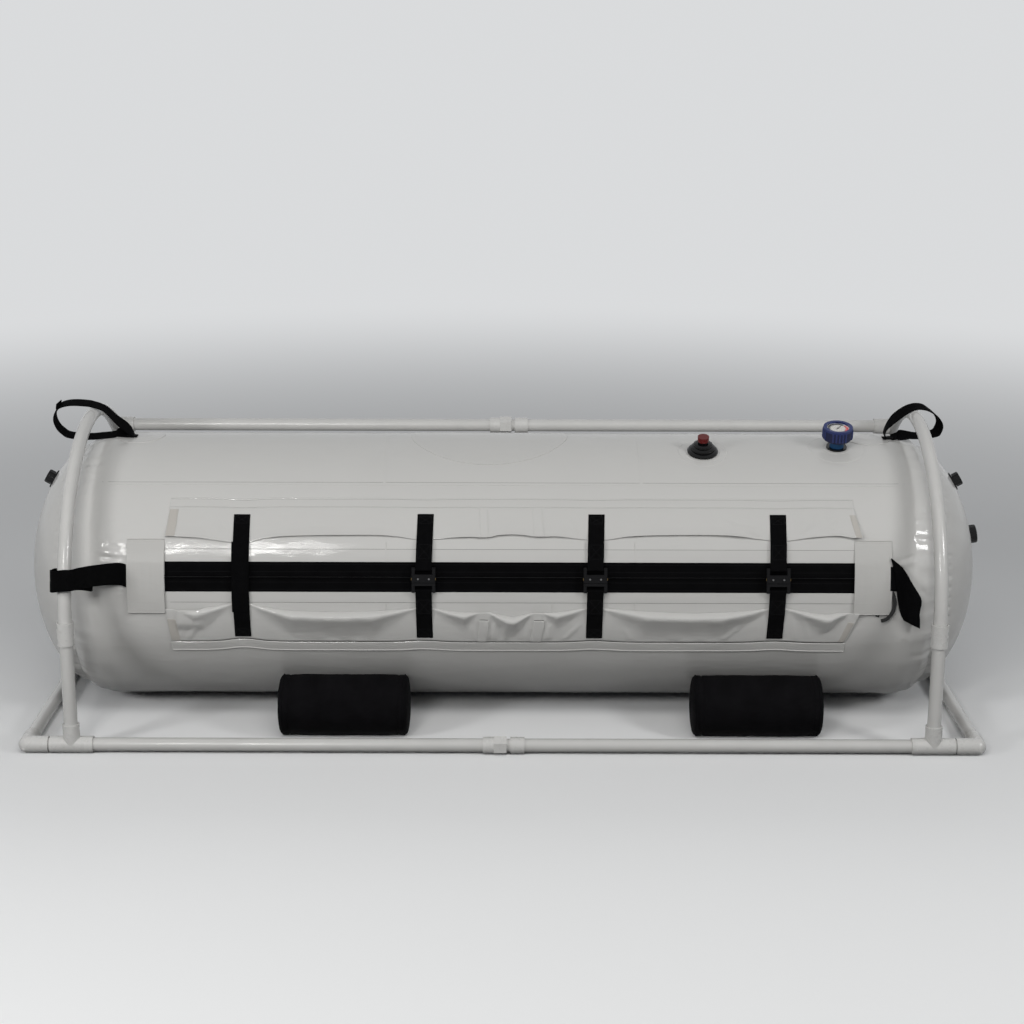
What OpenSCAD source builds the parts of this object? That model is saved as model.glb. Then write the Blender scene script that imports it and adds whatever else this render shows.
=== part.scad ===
// Soft-sided hyperbaric chamber: an inflated tube in a frame of white pipe.
// X runs along the tube, -Y is the side with the door, Z is up from the floor.

/* [Chamber] */
// Radius of the inflated tube
tube_r = 340; // [320:1:350]
// Height of the tube's axis above the floor
axis_h = 355; // [350:1:362]
// Half length of the straight part of the tube
straight_half = 1000; // [985:1:1015]
// Length of each domed end beyond the straight part
dome_len = 220; // [200:1:240]
// Thickness of the coated fabric
wall = 2; // [1.2:0.1:3]
// Distance of the end seams beyond the straight part
seam_inset = 75; // [70:1:90]
// Depth of the pinch that each end seam makes
seam_pinch = 9; // [2:0.5:12]
// Width of the tapes inside the end seams
seam_tape_w = 30; // [20:1:40]
// Thickness of every welded strip, patch and tape
patch_t = 1.2; // [0.8:0.1:1.6]

/* [Door] */
// How far the door sits off the middle of the tube
door_shift = 16; // [0:1:20]
// Half length of the visible zipper
door_half = 848; // [830:1:860]
// Lower edge of the zipper opening, as an arc above the tube's front line
door_low = 25; // [20:1:28]
// Upper edge of the zipper opening, as an arc
door_high = 100; // [97:1:105]
// Width of each end cover along the tube
cover_w = 93; // [88:1:100]
// Upper edge of the end covers, as an arc
cover_high = 156; // [146:1:158]
// Lower edge of the end covers, as an arc
cover_low = -28; // [-30:1:-24]
// Height of the tunnel under the end covers and straps
tunnel_h = 5; // [4.8:0.1:6]
// Width of the zipper coil
coil_w = 8; // [6:0.5:10]
// Height of the zipper coil
coil_h = 3; // [2:0.1:3.4]
// Lap of the zipper tapes under the edges of the opening
tape_lap = 17; // [10:1:20]
// Thickness of the zipper tapes
tape_t = 1.6; // [1:0.1:2]
// Reach of the inner seal flap below the opening
seal_below = 35; // [30:1:40]
// Reach of the inner seal flap above the opening
seal_above = 50; // [44:1:54]

/* [Flaps] */
// Half length of the two flaps
flap_half = 851; // [845:1:860]
// Welded edge of the upper flap, as an arc
upper_root = 235; // [228:1:240]
// Free edge of the upper flap, as an arc
upper_free = 156; // [153:1:160]
// Welded edge of the lower flap, as an arc
lower_root = -110; // [-115:1:-106]
// Free edge of the lower flap, as an arc
lower_free = -42; // [-46:1:-40]
// Width of the welded strips beside the flaps
strip_w = 28; // [20:1:34]
// Thickness of the flaps
flap_t = 1.5; // [1:0.1:2]
// How far the flaps billow out between the straps
billow = 9; // [2:0.5:12]
// How far the ends of the free edges reach beyond the welded edges
flap_flare = 17; // [0:1:20]

/* [Straps] */
// Width of the strap webbing
web_w = 40; // [36:0.5:42]
// Thickness of the strap webbing
web_t = 1.9; // [1.5:0.1:2.2]
// Distance of the two inner straps from the door's middle
strap_inner = 211; // [190:1:225]
// Distance of the two outer straps from the door's middle
strap_outer = 660; // [620:1:690]
// Upper end of the straps, as an arc
strap_high = 220; // [212:1:226]
// Lower end of the straps, as an arc
strap_low = -96; // [-102:1:-90]
// Length of webbing sewn back over each strap, past the buckle's bar
sewn_back = 60; // [45:1:64]
// Width of a buckle
buckle_w = 58; // [56:0.5:64]
// Thickness of a buckle
buckle_t = 9; // [8.5:0.1:10]
// Height of a buckle's middle, as an arc
buckle_arc = 57; // [54:1:60]
// Distance of each strap bar from the buckle's middle
bar_v = 27; // [25:0.5:30]
// Radius of the strap bars
bar_r = 2.5; // [2:0.1:2.6]
// Travel of a release clip
clip_travel = 5; // [3:0.1:5.2]

/* [Frame] */
// Outer radius of the pipe
pipe_r = 16.7; // [15.5:0.1:17.5]
// Wall of the pipe
pipe_wall = 3.4; // [2:0.1:4]
// Wall of the fittings
fitting_wall = 4; // [3:0.1:5]
// Distance from a fitting's middle to its rim
fitting_reach = 53; // [48:1:56]
// Depth of each pipe socket
socket_depth = 26; // [20:1:28]
// Distance of the base's corners beyond the hoops
base_reach = 110; // [107:1:120]
// Half depth of the base, between pipe middles
base_half_y = 446; // [440:1:460]
// Distance of the hoops from the end seams, towards the middle
hoop_inset = 18; // [15:1:25]
// Height of the couplers' middles
coupler_z = 307; // [295:1:320]
// Length of the couplers
coupler_len = 57; // [54:1:70]
// Angle of the top rail behind the hoops' crowns
rail_angle = 37; // [33:0.5:44]
// Start of the union on the base rails
base_union_x = -48; // [-80:1:-20]
// Start of the union on the top rail
top_union_x = -38; // [-80:1:-20]

/* [Fittings] */
// Place of the pressure gauge along the tube
gauge_x = 848; // [820:1:870]
// Angle of the gauge above the tube's front line
gauge_angle = 77; // [72:1:86]
// Outer radius of the gauge's boot
boot_r = 39; // [37:0.5:44]
// Place of the relief valve along the tube
valve_x = 505; // [480:1:520]
// Angle of the relief valve above the tube's front line
valve_angle = 73; // [70:1:86]
// Radius of the relief valve's base
valve_r = 39; // [37:0.5:44]
// Travel of the relief valve's button
button_travel = 4; // [2:0.1:4]
// Angle of the upper end ports from the tube's axis
upper_port_tau = 41; // [38:1:52]
// Angle of the middle end port from the tube's axis
middle_port_tau = 13.6; // [12:0.1:20]
// Radius of the upper ports' necks
upper_neck_r = 13; // [12:0.1:15]
// Radius of the middle port's neck
middle_neck_r = 19; // [16:0.1:21]
// Bore radius of the upper ports
port_bore_r = 9.5; // [7:0.1:10]

/* [Soft pieces] */
// Radius of the bolsters
bolster_r = 76.2; // [66:0.1:80]
// Length of a bolster between the seams at its ends
bolster_len = 304; // [280:1:350]
// Place of the left bolsters along the tube
bolster_left_x = -398; // [-450:1:-350]
// Place of the right bolsters along the tube
bolster_right_x = 637; // [600:1:680]
// Half length of the mattress
mattress_half = 930; // [880:1:950]
// Thickness of the mattress
mattress_t = 35; // [20:1:50]
// Half angle that the mattress covers on the tube's floor
mattress_angle = 50; // [40:1:56]
// Width of the handle webbing
handle_w = 28; // [22:1:32]

/* [Hidden] */
$fn = 72;
lay_gap = 0.3;              // between soft pieces that lie on each other
fit_gap = 0.1;              // between a pipe and its socket
white = "whitesmoke";
pipe_white = "white";
webbing_black = [0.09, 0.09, 0.1];

seam_x = straight_half + seam_inset;
hoop_x = seam_x - hoop_inset;
base_half_x = hoop_x + base_reach;
fitting_r = pipe_r + fitting_wall;
pipe_z = fitting_r;         // the fittings stand on the floor
hoop_r = base_half_y;
hoop_z = coupler_z + 1;
rail_y = hoop_r * sin(rail_angle);
rail_z = hoop_z + hoop_r * cos(rail_angle);

strap_x = [for (s = [-strap_outer, -strap_inner, strap_inner, strap_outer]) door_shift + s];
buckled = [1, 2, 3];        // straps that carry a buckle
tunnel_r = tube_r + tunnel_h;
flap_top_r = tube_r + lay_gap + flap_t;
cover_t = 1.5;
coil_mid = (door_low + door_high) / 2;
tape_r = tube_r - wall;     // outer face of the zipper tapes, under the shell

// Angle above the tube's front line of a point given by its arc
function deg(arc) = arc * 180 / (PI * tube_r);
// Point of the Y-Z section at an arc and a radius
function on_arc(arc, r) = [-r * cos(deg(arc)), axis_h + r * sin(deg(arc))];
// Point of the Y-Z section in a buckle's own frame: v up the tube, w outwards
function at_buckle(v, w) = let (a = deg(buckle_arc))
    [-(tube_r + w) * cos(a) + v * sin(a), axis_h + (tube_r + w) * sin(a) + v * cos(a)];

// How far the end seams pinch the tube in at x
function pinch(x) = seam_pinch * exp(-pow((abs(x) - seam_x) / 16, 2));
// Radius of the shell at x, for a given tube radius and dome length
function shell_r(x, r, dome) = let (d = (abs(x) - straight_half) / dome)
    (d <= 0 ? r : r * sqrt(max(0, 1 - d * d))) - pinch(x);

// Smooth curve through points, n steps a span
function curve(p, n) = [for (i = [0:len(p) - 2], k = [0:n - 1]) let (
        a = p[max(i - 1, 0)], b = p[i], c = p[i + 1], d = p[min(i + 2, len(p) - 1)], t = k / n)
    0.5 * (2 * b + (c - a) * t + (2 * a - 5 * b + 4 * c - d) * t * t
        + (3 * b - a - 3 * c + d) * t * t * t), p[len(p) - 1]];
function unit(v) = v / norm(v);
function side_of(p, i) = let (t = unit(p[min(i + 1, len(p) - 1)] - p[max(i - 1, 0)])) [-t[1], t[0]];
// Outline of a band of thickness t along a path
function band(p, t) = concat(
    [for (i = [0:len(p) - 1]) p[i] + side_of(p, i) * t / 2],
    [for (i = [len(p) - 1:-1:0]) p[i] - side_of(p, i) * t / 2]);

// Places children on the tube at x and an angle, with local Z outwards
module on_tube(x, angle) {
    translate([x, 0, axis_h]) rotate([90 - angle, 0, 0]) translate([0, 0, tube_r]) children();
}

// Turns a ring's own axis onto the tube's axis
module about_axis() {
    translate([0, 0, axis_h]) rotate([90, 0, -90]) children();
}

// Part of a ring round the tube, between two angles
module ring_part(x0, x1, a0, a1, r0, r1) {
    about_axis() rotate([0, 0, a0]) rotate_extrude(angle = a1 - a0)
        translate([r0, -x1]) square([r1 - r0, x1 - x0]);
}

// A strip laid on the tube between two arcs
module strip(x0, x1, arc0, arc1, r0, r1) {
    ring_part(x0, x1, deg(arc0), deg(arc1), r0, r1);
}

// Extrudes a Y-Z section along X
module along_x(x0, x1) {
    translate([x0, 0, 0]) rotate([90, 0, 90]) linear_extrude(x1 - x0) children();
}

module box(x0, x1, y0, y1, z0, z1) {
    translate([x0, y0, z0]) cube([x1 - x0, y1 - y0, z1 - z0]);
}

// Straight tube along X, Y or Z
module rod_x(x0, x1, r) { translate([x0, 0, 0]) rotate([0, 90, 0]) cylinder(r = r, h = x1 - x0); }
module rod_y(y0, y1, r) { translate([0, y1, 0]) rotate([90, 0, 0]) cylinder(r = r, h = y1 - y0); }
module rod_z(z0, z1, r) { translate([0, 0, z0]) cylinder(r = r, h = z1 - z0); }

module pipe_x(x0, x1) {
    difference() {
        rod_x(x0, x1, pipe_r);
        rod_x(x0 - 1, x1 + 1, pipe_r - pipe_wall);
    }
}

// Frame

socket_r = pipe_r + fit_gap;
bore_r = pipe_r - pipe_wall;
socket_floor = fitting_reach - socket_depth;
union_socket_len = fitting_reach + 5;
union_gap = 9;
union_plug_len = socket_depth + 9;
union_collar = socket_depth + 1;    // plain collar of a union's socket, up to its hexagon
union_thread = 22;                  // how far the plug's thread goes into the socket
thread_r = pipe_r - 0.5;

// The union's two ends along a rail that starts its socket at x
function plug_start(x) = x + union_socket_len + union_gap;
function plug_end(x) = plug_start(x) + union_plug_len;

module rail_pair(x0, x1, union_x) {
    pipe_x(x0, union_x + socket_depth - 1);
    pipe_x(plug_end(union_x) - socket_depth + 2, x1);
}

module base_rails() {
    reach = hoop_x - socket_floor - 1;
    color(pipe_white) for (s = [-1, 1])
        translate([0, s * base_half_y, pipe_z]) rail_pair(-reach, reach, base_union_x);
}

module side_rails() {
    reach = base_half_y - socket_floor - 1;
    color(pipe_white) for (s = [-1, 1]) translate([s * base_half_x, 0, pipe_z]) difference() {
        rod_y(-reach, reach, pipe_r);
        rod_y(-reach - 1, reach + 1, bore_r);
    }
}

module corner_nipples() {
    x0 = hoop_x + socket_floor + 1;
    x1 = base_half_x - socket_floor - 1;
    color(pipe_white) for (sx = [0, 1], sy = [-1, 1])
        mirror([sx, 0, 0]) translate([0, sy * base_half_y, pipe_z]) pipe_x(x0, x1);
}

// Elbow at the corner of +X and +Y, with its sockets towards the middle
module elbow() {
    difference() {
        union() {
            sphere(r = fitting_r);
            rod_x(-fitting_reach, 0, fitting_r);
            rod_y(-fitting_reach, 0, fitting_r);
        }
        rod_x(-fitting_reach - 1, -socket_floor, socket_r);
        rod_y(-fitting_reach - 1, -socket_floor, socket_r);
        rod_x(-fitting_reach, 0, bore_r);
        rod_y(-fitting_reach, 0, bore_r);
    }
}

module corner_elbows() {
    color(pipe_white) for (sx = [0, 1], sy = [0, 1]) mirror([sx, 0, 0]) mirror([0, sy, 0])
        translate([base_half_x, base_half_y, pipe_z]) elbow();
}

module tee() {
    difference() {
        union() {
            rod_x(-fitting_reach, fitting_reach, fitting_r);
            rod_z(0, fitting_reach, fitting_r);
        }
        rod_x(socket_floor, fitting_reach + 1, socket_r);
        rod_x(-fitting_reach - 1, -socket_floor, socket_r);
        rod_z(socket_floor, fitting_reach + 1, socket_r);
        rod_x(-fitting_reach, fitting_reach, bore_r);
        rod_z(0, fitting_reach, bore_r);
    }
}

module at_posts() {
    for (sx = [-1, 1], sy = [-1, 1]) translate([sx * hoop_x, sy * base_half_y, 0]) children();
}

module base_tees() { color(pipe_white) at_posts() translate([0, 0, pipe_z]) tee(); }

module upright_posts() {
    color(pipe_white) at_posts() difference() {
        rod_z(pipe_z + socket_floor + 1, coupler_z - 1, pipe_r);
        rod_z(pipe_z, coupler_z, bore_r);
    }
}

// The upper half is wider inside, because the hoop's bend starts in it
module post_couplers() {
    bend = pow(coupler_len / 2, 2) / (2 * hoop_r);
    color(pipe_white) at_posts() difference() {
        rod_z(coupler_z - coupler_len / 2, coupler_z + coupler_len / 2, fitting_r);
        rod_z(coupler_z - coupler_len, coupler_z, socket_r);
        rod_z(coupler_z - 1, coupler_z + coupler_len, socket_r + bend);
    }
}

// Half ring of solid pipe over the tube, r is the pipe's radius
module hoop_solid(r) {
    translate([0, 0, hoop_z]) rotate([90, 0, 90]) rotate_extrude(angle = 180, $fn = 144)
        translate([hoop_r, 0]) circle(r = r);
}

module hoop_at(x) {
    color(pipe_white) translate([x, 0, hoop_z]) rotate([90, 0, 90]) rotate_extrude(angle = 180, $fn = 144)
        translate([hoop_r, 0]) difference() {
            circle(r = pipe_r);
            circle(r = bore_r);
        }
}

module hoop_left() { hoop_at(-hoop_x); }
module hoop_right() { hoop_at(hoop_x); }

rail_socket_out = hoop_x - 52;    // rim of the top rail's end sockets

module top_rails() {
    reach = rail_socket_out + socket_depth - 2;
    color(pipe_white) translate([0, rail_y, rail_z]) rail_pair(-reach, reach, top_union_x);
}

// End sockets with a saddle that fits the hoops
module top_rail_sockets() {
    color(pipe_white) for (s = [0, 1]) mirror([s, 0, 0]) difference() {
        translate([0, rail_y, rail_z]) difference() {
            rod_x(rail_socket_out, hoop_x - pipe_r + 6, fitting_r);
            rod_x(rail_socket_out - 1, rail_socket_out + socket_depth, socket_r);
        }
        translate([hoop_x, 0, 0]) hoop_solid(socket_r);
    }
}

module union_socket(x) {
    hex_x = x + union_collar;
    difference() {
        union() {
            rod_x(x, hex_x, fitting_r);
            translate([hex_x, 0, 0]) rotate([0, 90, 0])
                cylinder(r = fitting_r / cos(30), h = union_socket_len - union_collar, $fn = 6);
        }
        rod_x(x - 1, x + socket_depth, socket_r);
        rod_x(x, x + union_socket_len + 1, bore_r);
        rod_x(x + union_socket_len - union_thread, x + union_socket_len + 1, thread_r + fit_gap);
    }
}

module union_plug(x) {
    difference() {
        union() {
            rod_x(x + union_socket_len - union_thread + 1, plug_start(x) + 1, thread_r);
            rod_x(plug_start(x), plug_end(x), fitting_r);
        }
        rod_x(plug_end(x) - socket_depth, plug_end(x) + 1, socket_r);
        rod_x(x + union_socket_len - union_thread, plug_end(x) + 1, bore_r - 1);
    }
}

module at_rails() {
    // children(0) on the base rails and children(1) on the top rail
    for (s = [-1, 1]) translate([0, s * base_half_y, pipe_z]) rotate([s > 0 ? 30 : 0, 0, 0]) children(0);
    translate([0, rail_y, rail_z]) children(1);
}

module union_sockets() {
    color(pipe_white) at_rails() {
        union_socket(base_union_x);
        union_socket(top_union_x);
    }
}

module union_plugs() {
    color(pipe_white) at_rails() {
        union_plug(base_union_x);
        union_plug(top_union_x);
    }
}

// Shell

// Stations along the seam, shared by the panel, the caps and the tapes
seam_xs = [for (k = [-5:5]) seam_x + seam_tape_w / 2 * k / 5];
shoulder_x = concat([for (k = [0:4]) straight_half + (seam_xs[0] - straight_half) * k / 5],
    [for (k = [0:5]) seam_xs[k]]);
half_xs = concat([for (i = [len(shoulder_x) - 1:-1:0]) -shoulder_x[i]], shoulder_x);
port_hole_gap = 0.3;
stem_r = 10;                // threaded stems of the gauge and the valve

module door_cut() {
    strip(door_shift - door_half, door_shift + door_half + cover_w - 6,
        door_low, door_high, tube_r - 10, tube_r + 10);
}

module body_panel() {
    profile = concat(
        [for (x = half_xs) [shell_r(x, tube_r, dome_len), -x]],
        [for (i = [len(half_xs) - 1:-1:0])
            [shell_r(half_xs[i], tube_r - wall, dome_len - wall), -half_xs[i]]]);
    color(white) difference() {
        about_axis() rotate_extrude($fn = 144) polygon(profile);
        door_cut();
        on_tube(gauge_x, gauge_angle) rod_z(-20, 5, stem_r + port_hole_gap);
        on_tube(valve_x, valve_angle) rod_z(-20, 5, stem_r + port_hole_gap);
    }
}

cap_steps = 10;
// Points of a dome's profile, from the seam to the pole
function dome_points(r, dome) = let (t0 = asin((seam_xs[10] - straight_half) / dome)) concat(
    [for (k = [5:9]) [shell_r(seam_xs[k], r, dome), -seam_xs[k]]],
    [for (k = [0:cap_steps]) let (
            t = t0 + (90 - t0) * k / cap_steps,
            x = straight_half + dome * sin(t))
        [k == cap_steps ? 0 : r * cos(t) - pinch(x), -x]]);

module dome() {
    outer = dome_points(tube_r, dome_len);
    inner = dome_points(tube_r - wall, dome_len - wall);
    about_axis() rotate_extrude($fn = 144)
        polygon(concat(outer, [for (i = [len(inner) - 1:-1:0]) inner[i]]));
}

// Places children on the right dome at the angle tau from the tube's axis, above the axis
module on_dome(tau) {
    nx = cos(tau) / dome_len;
    nz = sin(tau) / tube_r;
    translate([straight_half + dome_len * cos(tau), 0, axis_h + tube_r * sin(tau)])
        rotate([0, atan2(nx, nz), 0]) children();
}

module end_cap_left() {
    color(white) mirror([1, 0, 0]) difference() {
        dome();
        on_dome(upper_port_tau) rod_z(-20, 10, upper_neck_r + port_hole_gap);
    }
}

module end_cap_right() {
    color(white) difference() {
        dome();
        on_dome(upper_port_tau) rod_z(-20, 10, upper_neck_r + port_hole_gap);
        on_dome(middle_port_tau) rod_z(-20, 10, middle_neck_r + port_hole_gap);
    }
}

long_seam = 303;            // lower edge of the long seam above the door, as an arc
long_seam_w = 8;

// A ring inside each end seam, and the long seam above the door
module seam_tapes() {
    ring = concat(
        [for (x = seam_xs) [shell_r(x, tube_r - wall, dome_len - wall) - 0.1, -x]],
        [for (k = [len(seam_xs) - 1:-1:0])
            [shell_r(seam_xs[k], tube_r - wall, dome_len - wall) - 0.1 - patch_t, -seam_xs[k]]]);
    color(white) {
        about_axis() rotate_extrude($fn = 144) polygon(ring);
        mirror([1, 0, 0]) about_axis() rotate_extrude($fn = 144) polygon(ring);
        strip(-straight_half + 5, straight_half - 5, long_seam, long_seam + long_seam_w,
            tube_r, tube_r + patch_t / 2);
    }
}

// Bare oval reinforcement on the crown
module oval_patch() {
    half_x = 201;
    half_y = 154;
    outline = [for (k = [0:47]) [half_x * cos(k * 7.5), half_y * sin(k * 7.5)]];
    color(white) intersection() {
        ring_part(-half_x - 41, half_x - 33, 55, 125, tube_r, tube_r + patch_t);
        translate([-37, 0, axis_h]) linear_extrude(tube_r + 20) polygon(outline);
    }
}

module flap_strips() {
    x0 = door_shift - flap_half;
    x1 = door_shift + flap_half;
    color(white) {
        strip(x0, x1, upper_root, upper_root + strip_w, tube_r, tube_r + patch_t);
        strip(x0, x1, lower_root - strip_w, lower_root, tube_r, tube_r + patch_t);
    }
}

// Billow between straps, from 0 at a strap or an end to 1 midway
stops = concat([-flap_half], [for (x = strap_x) x - door_shift], [flap_half]);
function span_wave(x) = let (
        k = [for (i = [0:len(stops) - 2]) if (x >= stops[i] && x <= stops[i + 1]) i][0],
        half = web_w / 2 + 6,
        a = stops[k] + (k == 0 ? 0 : half),
        b = stops[k + 1] - (k == len(stops) - 2 ? 0 : half),
        t = min(1, max(0, (x - a) / (b - a))))
    pow(sin(180 * t), 1.3);
// Small folds along the free edge
function ripple(x) = 0.5 + 0.3 * sin(x * 1.9) + 0.2 * sin(x * 4.7 + 50);

// Points of a flap: row 0 is welded, the last row is free. The upper flap stands off at its
// free edge, and the lower one sags like a pouch under its own
flap_cols = 76;
flap_rows = 5;
function flap_point(i, j, root, free, scallop, out) = let (
        x = -flap_half + 2 * flap_half * i / flap_cols,
        t = j / flap_rows,
        w = span_wave(x),
        arc = root + (free + scallop * w - root) * t,
        swell = root > free ? pow(t, 1.6) : sin(180 * t * t),
        r = tube_r + lay_gap + billow * w * ripple(x) * swell + out,
        p = on_arc(arc, r))
    [door_shift + x + flap_flare * t * pow(x / flap_half, 9), p[0], p[1]];

module flap(root, free, scallop) {
    n = (flap_cols + 1) * (flap_rows + 1);
    points = [for (out = [0, flap_t], j = [0:flap_rows], i = [0:flap_cols])
        flap_point(i, j, root, free, scallop, out)];
    id = function(side, j, i) side * n + j * (flap_cols + 1) + i;
    quads = concat(
        [for (j = [0:flap_rows - 1], i = [0:flap_cols - 1])
            [id(0, j, i), id(0, j, i + 1), id(0, j + 1, i + 1), id(0, j + 1, i)]],
        [for (j = [0:flap_rows - 1], i = [0:flap_cols - 1])
            [id(1, j, i), id(1, j + 1, i), id(1, j + 1, i + 1), id(1, j, i + 1)]],
        [for (i = [0:flap_cols - 1]) [id(0, 0, i), id(1, 0, i), id(1, 0, i + 1), id(0, 0, i + 1)]],
        [for (i = [0:flap_cols - 1]) let (j = flap_rows)
            [id(0, j, i), id(0, j, i + 1), id(1, j, i + 1), id(1, j, i)]],
        [for (j = [0:flap_rows - 1]) [id(0, j, 0), id(0, j + 1, 0), id(1, j + 1, 0), id(1, j, 0)]],
        [for (j = [0:flap_rows - 1]) let (i = flap_cols)
            [id(0, j, i), id(1, j, i), id(1, j + 1, i), id(0, j + 1, i)]]);
    faces = [for (q = quads) each [[q[0], q[1], q[2]], [q[0], q[2], q[3]]]];
    upward = root > free;
    polyhedron(points, upward ? faces : [for (f = faces) [f[2], f[1], f[0]]]);
}

module upper_flap() { color(white) flap(upper_root, upper_free, 6); }
module lower_flap() { color(white) flap(lower_root, lower_free, -8); }

// Section of a layer of thickness t between two arcs, on the height low(arc)
module layer_section(arc0, arc1, t, low) {
    n = ceil((arc1 - arc0) / 8);
    arcs = [for (k = [0:n]) arc0 + (arc1 - arc0) * k / n];
    polygon(concat(
        [for (a = arcs) on_arc(a, low(a))],
        [for (k = [n:-1:0]) on_arc(arcs[k], low(arcs[k]) + t)]));
}

// Underside of the end covers, which are welded down along their top edge
cover_in = function(arc) arc < cover_high - 46 ? tunnel_r
    : arc > cover_high - 36 ? tube_r + 0.05
    : tube_r + 0.05 + (tunnel_r - tube_r - 0.05) * (cover_high - 36 - arc) / 10;

module end_cover(x0, x1) { along_x(x0, x1) layer_section(cover_low, cover_high, cover_t, cover_in); }

module end_covers() {
    color(white) for (s = [-1, 1]) {
        inner = s * door_half;
        outer = s * (door_half + cover_w);
        end_cover(door_shift + min(inner, outer), door_shift + max(inner, outer));
    }
}

// Zipper

tape_x0 = door_shift - door_half - 12;
tape_x1 = door_shift + door_half + cover_w - 2;

module zipper_tapes() {
    color(webbing_black) {
        strip(tape_x0, tape_x1, door_low - tape_lap, coil_mid - 2, tape_r - tape_t, tape_r);
        strip(tape_x0, tape_x1, coil_mid + 2, door_high + tape_lap, tape_r - tape_t, tape_r);
    }
}

module zipper_coil() {
    color([0.25, 0.25, 0.26])
        strip(door_shift - door_half + 1, door_shift + door_half + cover_w - 10,
            coil_mid - coil_w / 2, coil_mid + coil_w / 2, tape_r, tape_r + coil_h);
}

slider_x = door_shift + door_half + cover_w - 45;    // middle of the slider, under the right cover
slider_len = 30;
slider_top = tunnel_h - 0.7;
pull_x = door_shift + door_half + cover_w - 5;
pin_arc = coil_mid - 18;    // the pull's pin, below the coil
pull_lean = 20;             // how far the pull hangs off the vertical
pull_len = 84;
pull_w = 9;
pin_r = 1.8;

// Slider with a channel for the coil, and an arm to the pull
module slider_shape(len, half_w, low, high, gap_low) {
    channel = coil_w / 2 + 0.5;
    difference() {
        translate([0, 0, low]) linear_extrude(high - low) polygon([
            [-len / 2, -half_w * 0.7], [-len / 4, -half_w], [len / 4, -half_w], [len / 2, -half_w * 0.8],
            [len / 2, half_w * 0.8], [len / 4, half_w], [-len / 4, half_w], [-len / 2, half_w * 0.7]]);
        box(-len, len, -channel, channel, low - 1, gap_low);
    }
}

module zipper_slider() {
    color("dimgray") {
        on_tube(slider_x, deg(coil_mid)) {
            slider_shape(slider_len, 12, -wall + lay_gap, slider_top, coil_h - wall + 0.4);
            box(slider_len / 2 - 3, pull_x - slider_x + 5, -5, 5, slider_top - 1.6, slider_top);
        }
        strip(pull_x - 5, pull_x + 5, pin_arc - 5, coil_mid + 4,
            tube_r + slider_top - 1.6, tube_r + slider_top);
        on_tube(pull_x, deg(pin_arc)) rod_z(0.8, slider_top - 0.5, pin_r);
    }
}

// The pull is curved a little less than the tube, so that it can swing
module zipper_pull() {
    curve_r = 400;
    low = 1;
    high = slider_top - 1.6 - 0.2;
    color([0.35, 0.35, 0.36]) on_tube(pull_x, deg(pin_arc))
        rotate([0, 0, -pull_lean]) difference() {
            union() {
                rod_z(low, high, pull_w / 2 + 1);
                intersection() {
                    translate([0, 0, -curve_r]) rotate([0, 90, 0]) difference() {
                        translate([0, 0, -pull_w / 2]) cylinder(r = curve_r + high, h = pull_w, $fn = 360);
                        translate([0, 0, -pull_w]) cylinder(r = curve_r + low, h = 2 * pull_w, $fn = 360);
                    }
                    box(-pull_w, pull_w, -pull_len, 0, -20, 20);
                }
            }
            rod_z(-1, high + 1, pin_r + 0.06);
        }
}

seal_r = tape_r - tape_t - 0.2;    // outer face of the inner seal flap
seal_low = door_low - seal_below;
seal_high = door_high + seal_above;

module seal_flap() {
    // The welded rib runs along its upper edge
    rib_t = tape_r - seal_r + 0.1;
    color([0.92, 0.92, 0.9]) along_x(tape_x0 - 10, tape_x1 + 10) {
        layer_section(seal_low, seal_high, patch_t, function(arc) seal_r - patch_t);
        layer_section(door_high + tape_lap + 8, seal_high, rib_t, function(arc) tape_r - rib_t);
    }
}

inner_r = seal_r - patch_t - 0.2;  // outer face of the inner zipper's tapes
inner_tape_w = 32;
module inner_zipper() {
    x0 = door_shift - door_half;
    x1 = door_shift + door_half;
    color(webbing_black) {
        strip(x0, x1, coil_mid - 2 - inner_tape_w, coil_mid - 2, inner_r - tape_t, inner_r);
        strip(x0, x1, coil_mid + 2, coil_mid + 2 + inner_tape_w, inner_r - tape_t, inner_r);
        strip(x0 + 2, x1 - 2, coil_mid - coil_w / 2, coil_mid + coil_w / 2,
            inner_r - tape_t - coil_h + 1, inner_r - tape_t);
    }
}

inner_slider_x = door_shift + door_half - 30;
module inner_slider() {
    top = inner_r - tape_t - lay_gap - tube_r;
    coil_low = inner_r - tape_t - coil_h + 1 - tube_r;
    color("dimgray") on_tube(inner_slider_x, deg(coil_mid)) mirror([0, 0, 1])
        slider_shape(slider_len, 11, -top + 0.4, -coil_low + 3.4, -coil_low + 0.4);
}

// Straps and buckles

bar_w = tunnel_h + 5;       // height of the strap bars over the tube
strap_lay = flap_top_r + lay_gap;
// Height of a strap's underside along its arc
strap_in = function(arc) arc > 178 || arc < -58 ? strap_lay
    : arc > 150 ? strap_lay + (tunnel_r - strap_lay) * (178 - arc) / 28
    : arc < -32 ? strap_lay + (tunnel_r - strap_lay) * (arc + 58) / 26
    : tunnel_r;

module strap_section(arc0, arc1, t) { layer_section(arc0, arc1, t, strap_in); }

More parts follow.
